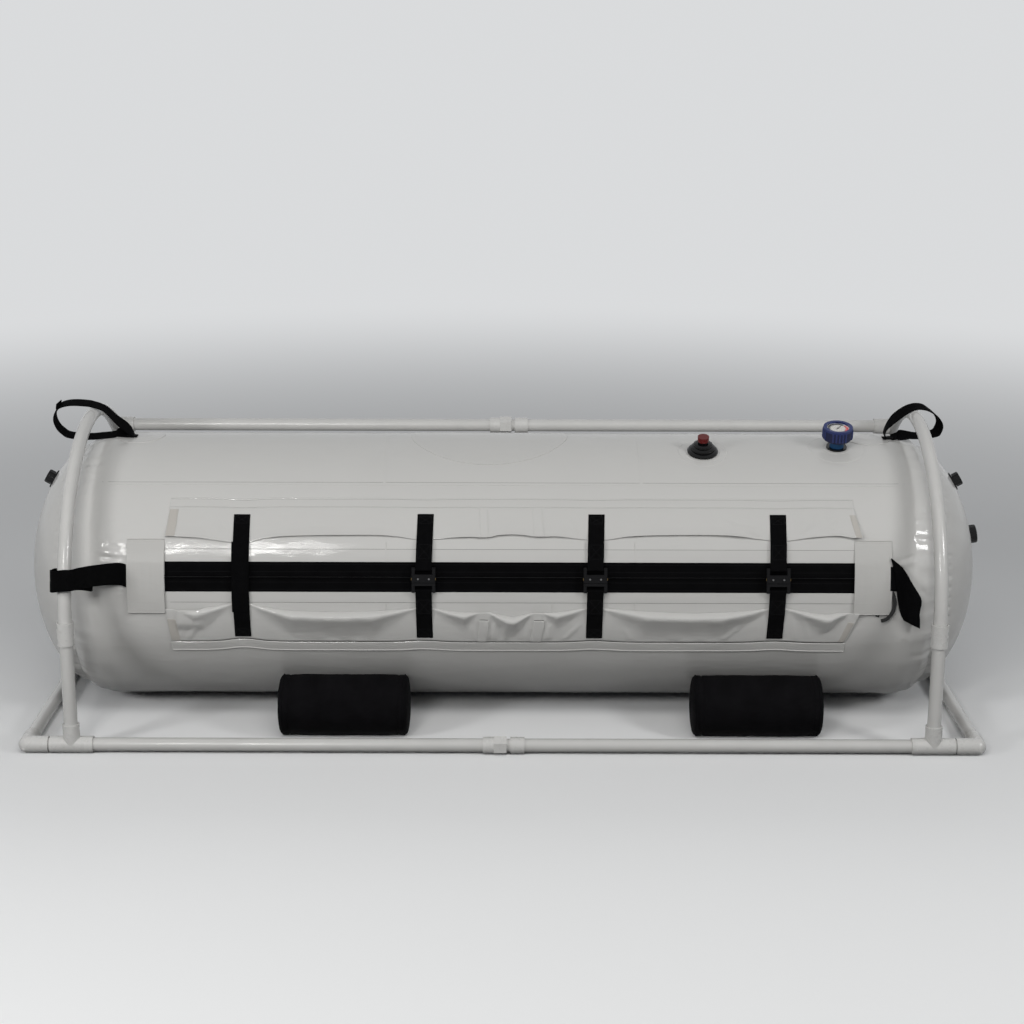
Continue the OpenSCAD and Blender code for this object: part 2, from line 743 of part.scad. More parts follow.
// Section of the webbing that wraps a strap bar, s is 1 for the upper bar
module wrap_section(s) {
    wrap_r = bar_r + 0.2 + web_t;
    far = s * (bar_v + 22);
    difference() {
        union() {
            translate(at_buckle(s * bar_v, bar_w)) circle(r = wrap_r, $fn = 32);
            polygon([at_buckle(s * bar_v, bar_w + wrap_r - 0.1), at_buckle(s * bar_v, bar_w - wrap_r + 0.3),
                at_buckle(far, tunnel_h - 0.4), at_buckle(far, tunnel_h + 2 * web_t - 1.2)]);
            if (s > 0) strap_section(buckle_arc + bar_v + 2, strap_high, web_t);
            else strap_section(strap_low, buckle_arc - bar_v - 2, web_t);
            if (s > 0) strap_section(buckle_arc + bar_v + 6, buckle_arc + bar_v + sewn_back + 4, 2 * web_t);
            else strap_section(buckle_arc - bar_v - sewn_back, buckle_arc - bar_v - 6, 2 * web_t);
        }
        translate(at_buckle(s * bar_v, bar_w)) circle(r = bar_r + 0.2, $fn = 32);
    }
}

module strap_webbings() {
    color(webbing_black) {
        along_x(strap_x[0] - web_w / 2, strap_x[0] + web_w / 2) strap_section(strap_low, strap_high, web_t);
        for (k = buckled, s = [-1, 1])
            along_x(strap_x[k] - web_w / 2, strap_x[k] + web_w / 2) wrap_section(s);
    }
}

module at_buckles() {
    for (k = buckled) on_tube(strap_x[k], deg(buckle_arc)) children();
}

half_b = buckle_w / 2;
buckle_low = bar_w - buckle_t / 2 + 0.5;
buckle_high = buckle_low + buckle_t;
clip_low = bar_w - 1.5;
clip_high = bar_w + 2.5;
clip_v = 3;                 // middle of the clips and rivets
clip_half_v = 2.8;
side_wall = 4;
arm_w = half_b - web_w / 2 - 1.5;

module buckle_arms(v0, v1) {
    for (s = [-1, 1]) translate([s * (half_b - arm_w / 2), 0, 0])
        box(-arm_w / 2, arm_w / 2, v0, v1, buckle_low + 1, buckle_high - 1);
}

module buckle_frames() {
    cavity = half_b - side_wall;
    color([0.12, 0.12, 0.13]) at_buckles() difference() {
        union() {
            box(-half_b, half_b, -6, 14, buckle_low, buckle_high);
            buckle_arms(12, bar_v + 4);
            translate([0, bar_v, bar_w]) rod_x(-half_b + 1, half_b - 1, bar_r);
        }
        box(-cavity, cavity, -7, 10, clip_low - 0.3, clip_high + 0.3);
        box(-half_b - 1, half_b + 1, clip_v - clip_half_v - 0.4, clip_v + clip_half_v + 0.4,
            clip_low - 0.3, clip_high + 0.3);
        for (s = [-1, 1]) translate([s * 13.4, clip_v, 0]) rod_z(clip_high, buckle_high + 1, 1.5);
    }
}

module buckle_tongues() {
    color([0.12, 0.12, 0.13]) at_buckles() {
        box(-3.6, 3.6, -9, 9.5, clip_low, clip_high);
        box(-20, 20, clip_v + clip_half_v + 0.7, 9.5, clip_low, clip_high);
        box(-half_b, half_b, -14, -7, buckle_low, buckle_high);
        buckle_arms(-bar_v - 4, -12);
        translate([0, -bar_v, bar_w]) rod_x(-half_b + 1, half_b - 1, bar_r);
    }
}

module buckle_rivets() {
    color("silver") at_buckles() for (s = [-1, 1]) translate([s * 13.4, clip_v, 0]) {
        rod_z(clip_high + 0.3, buckle_high + 1, 1.4);
        translate([0, 0, buckle_high]) cylinder(r1 = 2.7, r2 = 1.9, h = 1.2);
    }
}

// Release clip of strap k, s is -1 on the left
module clip(k, s) {
    inner = 3.6 + clip_travel + 0.4;
    color("goldenrod") on_tube(strap_x[k], deg(buckle_arc)) mirror([s < 0 ? 1 : 0, 0, 0])
        box(inner, half_b + 1.2, clip_v - clip_half_v, clip_v + clip_half_v, clip_low, clip_high);
}

module clip_2_left() { clip(1, -1); }
module clip_2_right() { clip(1, 1); }
module clip_3_left() { clip(2, -1); }
module clip_3_right() { clip(2, 1); }
module clip_4_left() { clip(3, -1); }
module clip_4_right() { clip(3, 1); }

// Tie straps and handles

tie_arc = 60;
tie_z = axis_h + tube_r * sin(deg(tie_arc));
tie_w = 54;
tie_rise = 9.5;             // how much the left strap climbs towards the post

// Loose loop of webbing from the left cover round the left post, seen from above
module tie_strap_left() {
    x0 = door_shift - door_half - cover_w;
    y0 = -tube_r * cos(deg(tie_arc)) - tunnel_h;
    front = -base_half_y - 14;
    reach = -hoop_x + 32 - x0;    // from the cover to the bend before the post
    path = [[-1.4, y0 - 1.4], [reach * 0.6, y0 - 62], [reach, front + 2], [reach - 27, front - 2],
        [reach - 54, front + 1], [reach - 61, front + 18], [reach - 61, front + 48],
        [reach - 34, front + 69], [reach, front + 68], [reach + 30, front + 62]];
    color(webbing_black) translate([x0, 0, tie_z]) rotate([0, tie_rise, 0])
        translate([0, 0, -tie_w / 2]) linear_extrude(tie_w) polygon(band(curve(path, 3), 3));
}

// The right tie strap hangs open from its cover
module tie_strap_right() {
    x0 = door_shift + door_half + cover_w;
    outline = [for (p = [[8, 40], [20, 33], [68, -39], [66, -71], [68, -113], [55, -109], [26, -97],
        [12, -75], [8, -31]]) [x0 + p[0], tie_z + p[1]]];
    front = tube_r + tunnel_h + 3;
    color(webbing_black) {
        strip(x0, x0 + 14, door_low + 3, door_high - 8, tunnel_r, tunnel_r + 2);
        translate([0, -front + 3.2, 0]) rotate([90, 0, 0]) linear_extrude(3.2) polygon(outline);
    }
}

loop_y = -15;
crown = axis_h + tube_r;
over = hoop_z + hoop_r + pipe_r;
// Centre lines of the handle loops, as distance outwards from the anchor and height over the floor
left_loop = [[0, crown + 3], [17, crown + 25], [34, over - 29], [60, over - 11], [92, over - 0.2],
    [110, over + 1.8], [146, over + 3.3], [176, over + 2.3], [196, over - 5], [202, over - 23],
    [199, crown + 33], [182, crown + 14], [160, crown + 3], [122, crown - 1], [82, crown + 1.5],
    [40, crown + 5], [12, crown + 3]];
right_loop = [[0, crown + 3], [-4, crown + 17], [6, over - 37], [30, over - 16], [58, over - 2],
    [76, over + 2.3], [98, over + 1.3], [124, over - 13], [137, over - 33], [134, crown + 25],
    [123, crown + 14], [82, crown + 8], [38, crown + 9], [13, crown + 3]];
left_anchor_x = 105 - hoop_x;
right_anchor_x = hoop_x - 73;

module handle_loop(points) {
    rotate([90, 0, 0]) linear_extrude(handle_w, center = true) polygon(band(curve(points, 3), 2.4));
    translate([6, 0, crown + 3]) cube([20, handle_w, 2.4], center = true);
}

module handle_loop_left() {
    color(webbing_black) translate([left_anchor_x, loop_y, 0]) mirror([1, 0, 0]) handle_loop(left_loop);
}

module handle_loop_right() {
    color(webbing_black) translate([right_anchor_x, loop_y, 0]) handle_loop(right_loop);
}

// Round welded patches under the handles' anchors
module handle_patches() {
    patch_r = 60;
    color(white) for (x = [left_anchor_x + 14, right_anchor_x - 46]) intersection() {
        ring_part(x - patch_r - 5, min(x + patch_r + 5, straight_half), 70, 115, tube_r, tube_r + patch_t);
        translate([x, 0, axis_h]) rod_z(0, tube_r + 20, patch_r);
    }
}

// Gauge

neck_top = 25;
boot_h = 34;
boot_top = neck_top + boot_h;
dial_r = boot_r - 10.7;
dial_floor = boot_top - 6;

module gauge_flange() {
    color([0.1, 0.1, 0.12]) on_tube(gauge_x, gauge_angle) {
        rod_z(0.2, 4, 26);
        rod_z(-14, 1, stem_r);
    }
}

module gauge_boot() {
    ribs = 28;
    color([0.1, 0.17, 0.35]) on_tube(gauge_x, gauge_angle) difference() {
        union() {
            rod_z(4, neck_top + 1, 18);
            translate([0, 0, neck_top]) cylinder(r1 = boot_r - 5, r2 = boot_r - 2, h = 5);
            rod_z(neck_top + 5, boot_top, boot_r - 2);
            for (k = [0:ribs - 1]) rotate([0, 0, k * 360 / ribs]) translate([boot_r - 2.4, 0, 0])
                rod_z(neck_top + 5, boot_top - 6, 2.4, $fn = 16);
        }
        rod_z(dial_floor, boot_top + 1, dial_r + 0.2);
    }
}

module gauge_dial() {
    color("white") on_tube(gauge_x, gauge_angle) {
        rod_z(dial_floor, dial_floor + 0.8, dial_r);
        rod_z(dial_floor + 0.5, dial_floor + 2.6, 1.2);
    }
}

needle_angle = 55;
module gauge_needle() {
    color("black") on_tube(gauge_x, gauge_angle) rotate([0, 0, needle_angle])
        translate([0, 0, dial_floor + 1.4]) difference() {
            union() {
                cylinder(r = 3, h = 0.8);
                linear_extrude(0.8) polygon([[-8, -1.2], [-8, 1.2], [dial_r - 5, 0.4], [dial_r - 5, -0.4]]);
            }
            translate([0, 0, -1]) cylinder(r = 1.26, h = 3);
        }
}

module gauge_lens() {
    color([0.85, 0.92, 0.95, 0.4]) on_tube(gauge_x, gauge_angle) rod_z(boot_top - 2.6, boot_top - 1, dial_r);
}

// Relief valve

tower_r = 12.2;
tower_top = 34;
cap_low = 31.5;
cap_high = 44;

module valve_body() {
    step = (valve_r - 19) / 20;
    color([0.06, 0.06, 0.06]) on_tube(valve_x, valve_angle) rotate_extrude() difference() {
        polygon([[5, -14], [stem_r, -14], [stem_r, 0.2], [valve_r, 0.2], [valve_r, 4], [19 + 16 * step, 8],
            [19 + 12 * step, 9], [19 + 12 * step, 14], [19 + 8 * step, 17], [19 + 5 * step, 18],
            [19 + 5 * step, 23], [19, 26], [tower_r, 27], [tower_r, tower_top], [5, tower_top]]);
        translate([6, 28.4]) square([3.6, 10]);
    }
}

module valve_button() {
    color([0.75, 0.1, 0.1]) on_tube(valve_x, valve_angle) difference() {
        rod_z(cap_low, cap_high, 14.5);
        rod_z(cap_low - 1, cap_high - 3.5, tower_r + 0.3);
    }
}

// Guide sleeve of the button, which plunges into the tower
module valve_sleeve() {
    color("silver") on_tube(valve_x, valve_angle) difference() {
        rod_z(33, cap_high - 3.5, 9.2);
        rod_z(30, cap_high, 6.4);
    }
}

// Ports

module port_body(neck_r, bore) {
    difference() {
        union() {
            rod_z(0.2, 3.2, neck_r + 12);
            rod_z(-14, 15, neck_r);
        }
        rod_z(-15, 16, bore);
    }
}

module port_cap(neck_r) {
    grips = 12;
    outer = neck_r + 4.4;
    difference() {
        union() {
            rod_z(5, 22, outer);
            for (k = [0:grips - 1]) rotate([0, 0, k * 360 / grips]) translate([outer - 0.6, 0, 0])
                rod_z(6, 20, 1.6, $fn = 16);
        }
        rod_z(4, 15.8, neck_r + 0.3);
    }
}

module fitting_nut(hole, rise) {
    difference() {
        rod_z(-9, -wall - rise, hole + 11);
        rod_z(-10, 0, hole + 0.05);
    }
}

module port_bodies() {
    middle_bore_r = middle_neck_r - 4;
    color([0.08, 0.08, 0.08]) {
        mirror([1, 0, 0]) on_dome(upper_port_tau) port_body(upper_neck_r, port_bore_r);
        on_dome(upper_port_tau) port_body(upper_neck_r, port_bore_r);
        on_dome(middle_port_tau) port_body(middle_neck_r, middle_bore_r);
    }
}

module port_cap_left() {
    color([0.08, 0.08, 0.08]) mirror([1, 0, 0]) on_dome(upper_port_tau) port_cap(upper_neck_r);
}

module port_cap_upper_right() { color([0.08, 0.08, 0.08]) on_dome(upper_port_tau) port_cap(upper_neck_r); }

module port_cap_middle_right() { color([0.08, 0.08, 0.08]) on_dome(middle_port_tau) port_cap(middle_neck_r); }

module fitting_nuts() {
    rise = 1.5;
    color([0.3, 0.3, 0.3]) {
        on_tube(gauge_x, gauge_angle) fitting_nut(stem_r, rise);
        on_tube(valve_x, valve_angle) fitting_nut(stem_r, rise);
        mirror([1, 0, 0]) on_dome(upper_port_tau) fitting_nut(upper_neck_r, rise);
        on_dome(upper_port_tau) fitting_nut(upper_neck_r, rise);
        on_dome(middle_port_tau) fitting_nut(middle_neck_r, rise + 1);
    }
}

// Soft pieces

module mattress() {
    color([0.85, 0.86, 0.88]) ring_part(-mattress_half, mattress_half,
        270 - mattress_angle, 270 + mattress_angle,
        tube_r - wall - lay_gap - mattress_t, tube_r - wall - lay_gap);
}

// Round pillow along X, drawn in at its ends, with bulging end faces and a flat on the floor
bolster_sides = 28;
bolster_flat = bolster_r * 0.04;    // how much the tube's weight flattens it on the floor
bolster_mid_z = bolster_r - bolster_flat;
bolster_mid_y = sqrt(pow(tube_r + bolster_r + lay_gap, 2) - pow(axis_h - bolster_mid_z, 2));
// Stations along the bolster: share of the half length and share of the radius
bolster_rings = [[-1.08, 0.2], [-1.07, 0.55], [-1.045, 0.82], [-1.01, 0.95], [-0.97, 0.98], [-0.9, 0.985],
    [-0.6, 0.997], [0, 1], [0.6, 0.997], [0.9, 0.985], [0.97, 0.98], [1.01, 0.95], [1.045, 0.82],
    [1.07, 0.55], [1.08, 0.2]];

module bolster() {
    rings = len(bolster_rings);
    points = [for (s = bolster_rings, k = [0:bolster_sides - 1]) let (a = 270 + k * 360 / bolster_sides)
        [s[0] * bolster_len / 2, bolster_r * s[1] * cos(a),
            max(0, bolster_mid_z + bolster_r * s[1] * sin(a))]];
    id = function(j, k) j * bolster_sides + k % bolster_sides;
    skin = [for (j = [0:rings - 2], k = [0:bolster_sides - 1]) each [
        [id(j, k), id(j + 1, k), id(j + 1, k + 1)], [id(j, k), id(j + 1, k + 1), id(j, k + 1)]]];
    start = [for (k = [1:bolster_sides - 2]) [id(0, 0), id(0, k), id(0, k + 1)]];
    end = [for (k = [1:bolster_sides - 2]) [id(rings - 1, 0), id(rings - 1, k + 1), id(rings - 1, k)]];
    polyhedron(points, concat(skin, start, end));
}

module bolsters() {
    color([0.1, 0.1, 0.1]) for (x = [bolster_left_x, bolster_right_x], s = [0, 1])
        mirror([0, s, 0]) translate([x, -bolster_mid_y, 0]) bolster();
}

base_rails();
side_rails();
corner_nipples();
corner_elbows();
base_tees();
upright_posts();
post_couplers();
hoop_left();
hoop_right();
top_rails();
top_rail_sockets();
union_sockets();
union_plugs();
body_panel();
end_cap_left();
end_cap_right();
seam_tapes();
oval_patch();
upper_flap();
lower_flap();
flap_strips();
end_covers();
zipper_tapes();
zipper_coil();
zipper_slider();
zipper_pull();
seal_flap();
inner_zipper();
inner_slider();
strap_webbings();
buckle_frames();
buckle_tongues();
buckle_rivets();
clip_2_left();
clip_2_right();
clip_3_left();
clip_3_right();
clip_4_left();
clip_4_right();
tie_strap_left();
tie_strap_right();
handle_loop_left();
handle_loop_right();
handle_patches();
gauge_flange();
gauge_boot();
gauge_dial();
gauge_needle();
gauge_lens();
valve_body();
valve_button();
valve_sleeve();
port_bodies();
port_cap_left();
port_cap_upper_right();
port_cap_middle_right();
fitting_nuts();
mattress();
bolsters();
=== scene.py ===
from math import asin, atan2, ceil, copysign, cos, dist, exp, hypot, pi, radians, sin, sqrt

import bmesh
import bpy
from mathutils import Matrix, Vector, noise


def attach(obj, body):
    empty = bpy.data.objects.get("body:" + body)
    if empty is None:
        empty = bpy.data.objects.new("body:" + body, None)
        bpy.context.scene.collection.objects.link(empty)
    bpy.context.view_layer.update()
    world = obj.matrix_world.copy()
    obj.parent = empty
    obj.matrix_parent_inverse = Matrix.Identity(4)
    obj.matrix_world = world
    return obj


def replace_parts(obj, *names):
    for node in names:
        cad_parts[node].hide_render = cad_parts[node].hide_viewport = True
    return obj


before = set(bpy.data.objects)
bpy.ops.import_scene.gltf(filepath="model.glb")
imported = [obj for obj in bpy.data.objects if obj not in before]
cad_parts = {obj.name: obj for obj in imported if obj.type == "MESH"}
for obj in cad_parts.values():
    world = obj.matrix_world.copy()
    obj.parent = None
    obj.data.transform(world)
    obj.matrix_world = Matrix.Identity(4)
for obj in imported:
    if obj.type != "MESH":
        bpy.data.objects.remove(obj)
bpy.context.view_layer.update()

scene = bpy.context.scene

# Camera

FRAME, SENSOR = 1024, 36.0      # width of the picture in pixels and of the sensor in mm
FOCAL = 1960.7                  # in pixels
PITCH, YAW, ROLL = 0.2675, 0.0003, 0.0028
CAMERA_AT = (0.0204, -4.9393, 1.8464)
forward = Vector((sin(YAW) * cos(PITCH), cos(YAW) * cos(PITCH), -sin(PITCH)))
right = Vector((cos(YAW), -sin(YAW), 0.0))
up = right.cross(forward)
cam_x = right * cos(ROLL) + up * sin(ROLL)
cam_y = up * cos(ROLL) - right * sin(ROLL)
camera = bpy.data.objects.new("camera", bpy.data.cameras.new("camera"))
camera.data.sensor_width = SENSOR
camera.data.lens = FOCAL / FRAME * SENSOR
camera.data.clip_end = 100.0
turn = Matrix((cam_x, cam_y, -forward)).transposed().to_4x4()
camera.matrix_world = Matrix.Translation(CAMERA_AT) @ turn
scene.collection.objects.link(camera)
scene.camera = camera

# Sizes, in mm. A place on the tube is (x, arc): along it, and round it from its front line up

R = 340.0                   # tube
AXIS = 355.0                # its axis over the floor
STRAIGHT = 1000.0           # half of its straight part
DOME = 220.0                # length of each end past that
SEAM = 1075.0               # end seams
SHIFT = 16.0                # of the door along the tube
HALF, COVER = 848.0, 93.0   # half of the door, and the cover at each of its ends
DOOR = (SHIFT - HALF, SHIFT + HALF)
SLOT_X = (DOOR[0], DOOR[1] + COVER - 6)
SLOT_ARC = (25.0, 100.0)
COIL = 62.5
STRAPS = [SHIFT + s for s in (-660, -211, 211, 660)]
TUNNEL = 345.0              # underside of straps and covers over the slider's way
GAP = 0.05                  # between the skin and what lies on it
GAUGE_TILT = radians(77)
GAUGE = (848.0, GAUGE_TILT * R)
VALVE = (505.0, radians(73) * R)
HANDLES = {"left": (-938.0, pi / 2 * R), "right": (938.0, pi / 2 * R)}


def wave(*co):
    """Smooth noise from -1 to 1."""
    return noise.noise(Vector(co + (0.0,) * (3 - len(co))))


def smooth(a, b, x):
    """0 at a, 1 at b, with an even start and end."""
    t = min(1.0, max(0.0, (x - a) / (b - a)))
    return t * t * (3 - 2 * t)


def bell(x, width):
    """1 at 0, fading to both sides."""
    return exp(-(x / width) ** 2)


def frange(a, b, step):
    """Stations from a to b, evenly spaced, no more than step apart."""
    n = max(1, int(ceil(abs(b - a) / step - 1e-6)))
    return [a + (b - a) * k / n for k in range(n + 1)]


def around(x, arc, r):
    """Point at x, at an arc above the tube's front line and at a radius, in metres."""
    a = arc / R
    return Vector((x, -r * cos(a), AXIS + r * sin(a))) / 1000


# The tube's skin


def profile(x):
    """Radius of the plain tube, drawn in at its end seams."""
    off = abs(x)
    d = (off - STRAIGHT) / DOME
    r = R if d <= 0 else R * sqrt(max(0.0, 1 - d * d))
    return r - 9.0 * bell(off - SEAM, 16) - 2.2 * bell(off - 1034, 15) + 1.3 * bell(off - 990, 11)


def pucker(x, arc, centre, near, reach, folds, height, phase):
    """Folds that run out from a point where something pulls at the fabric."""
    dx, dy = x - centre[0], arc - centre[1]
    d = hypot(dx, dy)
    if d > 5 * reach:
        return 0.0
    a = atan2(dy, dx)
    swing = cos(folds * a + phase) + 0.5 * cos((folds * 2 + 1) * a + phase * 2.3)
    return height * swing * smooth(near * 0.7, near * 1.4, d) * exp(-max(0, d - near) / reach)


def fold(x, arc, x0, arc0, x1, arc1, width, height):
    """One crease along the line between two points, fading at both ends."""
    dx, dy = x1 - x0, arc1 - arc0
    length = hypot(dx, dy)
    t = ((x - x0) * dx + (arc - arc0) * dy) / length ** 2
    off = ((x - x0) * dy - (arc - arc0) * dx) / length
    if not -0.2 < t < 1.2 or abs(off) > 3 * width:
        return 0.0
    return height * bell(off, width) * smooth(-0.15, 0.25, t) * (1 - smooth(0.7, 1.15, t))


# Where something pulls at the skin: centre, radius, reach, number of folds, height and phase
PUCKERS = (
    (GAUGE, 27, 20, 5, 0.45, 0.6), (VALVE, 40, 16, 6, 0.25, 1.1),
    ((961.0, 104.0), 6, 16, 4, 0.9, 0.4), ((961.0, 24.0), 6, 14, 4, 0.9, 1.9),
    ((-929.0, 26.0), 6, 16, 4, 0.9, 2.2), ((-929.0, 98.0), 6, 14, 4, 0.9, 0.9),
    (HANDLES["left"], 64, 18, 5, 0.7, 1.3), (HANDLES["right"], 64, 18, 5, 0.7, 1.3))
# Single creases near the door's ends and the hoops: from x, arc to x, arc, with width and height
FOLDS = (
    (961, 101, 1012, 119, 3.2, -2.6), (965, 92, 1016, 103, 6.0, 2.2), (1000, 84, 1070, 4, 13.0, 2.6),
    (1012, 60, 1076, -20, 9.0, -1.6), (-934, 116, -994, 124, 6.0, 1.8), (-934, 106, -990, 112, 4.0, -2.0),
    (-938, 140, -958, 150, 4.0, 1.6), (-932, 14, -974, -4, 5.0, 1.8), (-932, 24, -978, 12, 4.0, -1.6),
    (-1010, -70, -1066, -96, 7.0, 1.8), (-1006, -120, -1066, -150, 8.0, 2.0),
    (-1012, -190, -1066, -205, 8.0, 1.6), (-1008, 330, -1064, 352, 8.0, 1.6),
    (-1010, 376, -1066, 384, 8.0, -1.6), (1010, 205, 1066, 226, 8.0, 1.8), (1012, 160, 1066, 158, 9.0, -1.6),
    (1010, -70, 1066, -92, 8.0, 1.8), (1008, -150, 1066, -162, 9.0, 1.6), (1008, 320, 1064, 342, 9.0, 1.6))


def skin(x, arc):
    """Radius of the inflated skin, with its gathers at the end seams and puckers at its fittings."""
    a = arc / R
    d = abs(x) - SEAM
    side = 1 if x > 0 else 7
    r = profile(x)
    ca, sa = cos(a), sin(a)
    if abs(d) < 190:
        n1 = wave(2.3 * ca, 2.3 * sa, side)
        n2 = wave(1.4 * ca, 1.4 * sa, side + 3)
        n3 = wave(7 * ca, 7 * sa, side + 5)
        flank = 1 - bell(d, 4.0)
        tight = exp(-abs(d) / (17 if d < 0 else 20)) * flank
        middle = exp(-abs(d) / 30) * flank
        wide = exp(-abs(d) / 62) * flank
        r += 1.15 * tight * cos(100 * a + 7 * n1 + 2.5 * n3) * (0.75 + 0.8 * n3)
        r += 1.5 * middle * (cos(47 * a + 6 * n1) * (0.6 + n2) + 0.4 * cos(31 * a - 6 * n2))
        r += 1.5 * wide * (cos(15 * a + 6 * n2) + 0.6 * cos(22 * a + 4 * n1)) * (0.7 + n1)
        # where the gathers are stitched down beside the seam
        r -= 3.0 * bell(d - 33, 5.5) * max(0.0, cos(70 * a + 1.5 * n1)) ** 2 * (0.8 + n2)
        r += 0.8 * bell(d - 24, 7)
    if abs(x) < STRAIGHT:
        calm = smooth(60, 130, hypot(x + 780, arc))
        for fx, farc in (GAUGE, VALVE):
            calm *= smooth(30, 110, hypot(x - fx, arc - farc))
        r += calm * (0.7 * wave(x / 260, 2.2 * ca, 2.2 * sa) + 0.2 * wave(x / 90, 5 * ca, 5 * sa))
        r += sum(pucker(x, arc, *pull) for pull in PUCKERS)
    if 925 < abs(x) < 1080:
        r += sum(fold(x, arc, *crease) for crease in FOLDS if x * crease[0] > 0)
    return r


# Materials

SOCKETS = {"metallic": "Metallic", "coat": "Coat Weight", "coat_rough": "Coat Roughness",
           "sheen": "Sheen Weight", "transmission": "Transmission Weight", "specular": "Specular IOR Level",
           "ior": "IOR"}


def material(name, color, rough, coat_rough=0.05, **more):
    mat = bpy.data.materials.new(name)
    mat.use_nodes = True
    inputs = mat.node_tree.nodes["Principled BSDF"].inputs
    inputs["Base Color"].default_value = (*color, 1.0)
    inputs["Roughness"].default_value = rough
    for key, value in {"coat_rough": coat_rough, **more}.items():
        inputs[SOCKETS[key]].default_value = value
    return mat


def add_node(tree, kind, inputs=None, **settings):
    """A new shader node. inputs maps its sockets to plain values or to other nodes' outputs."""
    node = tree.nodes.new("ShaderNode" + kind)
    for key, value in settings.items():
        setattr(node, key, value)
    for key, value in (inputs or {}).items():
        if isinstance(value, bpy.types.NodeSocket):
            tree.links.new(value, node.inputs[key])
        elif value is not None:
            node.inputs[key].default_value = value
    return node


class Nodes:
    """Short ways to wire a material's texture nodes."""

    def __init__(self, mat, coords="Object"):
        self.tree = mat.node_tree
        self.bsdf = self.tree.nodes["Principled BSDF"]
        self.co = self.add("TexCoord", output=coords)

    def add(self, kind, inputs=None, output=0, **settings):
        return add_node(self.tree, kind, inputs, **settings).outputs[output]

    def link(self, out, socket):
        self.tree.links.new(out, self.bsdf.inputs[socket])

    def noise(self, scale, detail=2.0, rough=0.5, stretch=None):
        co = self.add("Mapping", {"Scale": stretch, "Vector": self.co}) if stretch else self.co
        return self.add("TexNoise", {"Scale": scale, "Detail": detail, "Roughness": rough, "Vector": co}, "Fac")

    def bands(self, scale, direction):
        return self.add("TexWave", {"Scale": scale, "Detail": 0.0, "Vector": self.co}, "Fac",
                        bands_direction=direction, wave_profile="SIN")

    def math(self, op, a, b):
        return self.add("Math", {0: a, 1: b}, operation=op)

    def ramp(self, fac, stops):
        node = add_node(self.tree, "ValToRGB", {"Fac": fac})
        for e, (pos, value) in zip(node.color_ramp.elements, stops):
            e.position = pos
            e.color = (*value, 1.0) if isinstance(value, tuple) else (value, value, value, 1.0)
        return node.outputs["Color"]

    def color(self, fac, low, high, a=0.3, b=0.7):
        self.link(self.ramp(fac, [(a, low), (b, high)]), "Base Color")

    def rough(self, fac, low, high):
        self.link(self.ramp(fac, [(0.3, low), (0.7, high)]), "Roughness")

    def bump(self, height, distance, strength, under=None):
        out = self.add("Bump", {"Strength": strength, "Distance": distance, "Height": height, "Normal": under})
        self.link(out, "Normal")
        return out


def vinyl(name, color, rough=0.45, coat=0.55, coat_rough=0.07, grain=0.00006):
    """Coated fabric: a glossy film over a cloth that shows through as a fine grain and long soft dents."""
    mat = material(name, color, rough, coat=coat, coat_rough=coat_rough, specular=0.35)
    n = Nodes(mat)
    n.color(n.noise(7, 3, 0.55), tuple(c * 0.985 for c in color), color)
    n.rough(n.noise(16, 3), rough - 0.03, rough + 0.05)
    first = n.bump(n.noise(900, 1, 0.5), grain, 0.4)
    second = n.bump(n.noise(80, 2, 0.5, stretch=(0.3, 1, 1)), 0.0005, 0.9, under=first)
    third = n.bump(n.noise(13, 2, 0.45, stretch=(0.6, 1, 1)), 0.0022, 0.9, under=second)
    n.link(third, "Coat Normal")
    return mat


def webbing(name, color):
    """Woven strap: ribs across it and rows of yarn along it. Its UVs are metres along and across."""
    mat = material(name, color, 0.8, specular=0.04)
    n = Nodes(mat, "UV")
    rib = n.bands(190, "X")
    yarn = n.bands(150, "Y")
    weave = n.math("MULTIPLY", rib, n.math("ADD", 0.4, yarn))
    n.color(weave, tuple(c * 0.55 for c in color), tuple(c * 1.5 for c in color), 0.2, 0.9)
    n.rough(n.noise(60, 2), 0.66, 0.8)
    n.bump(weave, 0.0004, 0.7)
    return mat


def cloth(name, color, scale=330, height=0.0003, sheen=0.25, specular=0.25):
    """Plain close weave, on UVs in metres."""
    mat = material(name, color, 0.8, sheen=sheen, specular=specular)
    n = Nodes(mat, "UV")
    weave = n.math("MAXIMUM", n.bands(scale, "X"), n.bands(scale, "Y"))
    n.color(n.noise(25, 3), tuple(c * 0.75 for c in color), tuple(c * 1.25 for c in color))
    n.bump(weave, height, 0.6)
    return mat


def plastic(name, color, rough, scratch=0.05, coat=0.0, grain=0.0, specular=0.5, dent=0.0004):
    """Moulded plastic, with a faint unevenness and, on matte parts, a spark-eroded grain."""
    mat = material(name, color, rough, coat=coat, specular=specular)
    n = Nodes(mat)
    n.color(n.noise(11, 2), tuple(c * 0.95 for c in color), color)
    n.rough(n.noise(45, 4, 0.6), rough, rough + scratch)
    if grain:
        n.bump(n.noise(1500, 2), grain, 0.5)
    else:
        n.bump(n.noise(30, 2), dent, 0.12)
    return mat


def metal(name, color, rough):
    mat = material(name, color, rough, metallic=1.0)
    n = Nodes(mat)
    n.rough(n.noise(900, 3, 0.5, stretch=(0.08, 1, 1)), rough - 0.08, rough + 0.14)
    n.bump(n.noise(700, 2, 0.5, stretch=(0.08, 1, 1)), 0.00004, 0.5)
    return mat


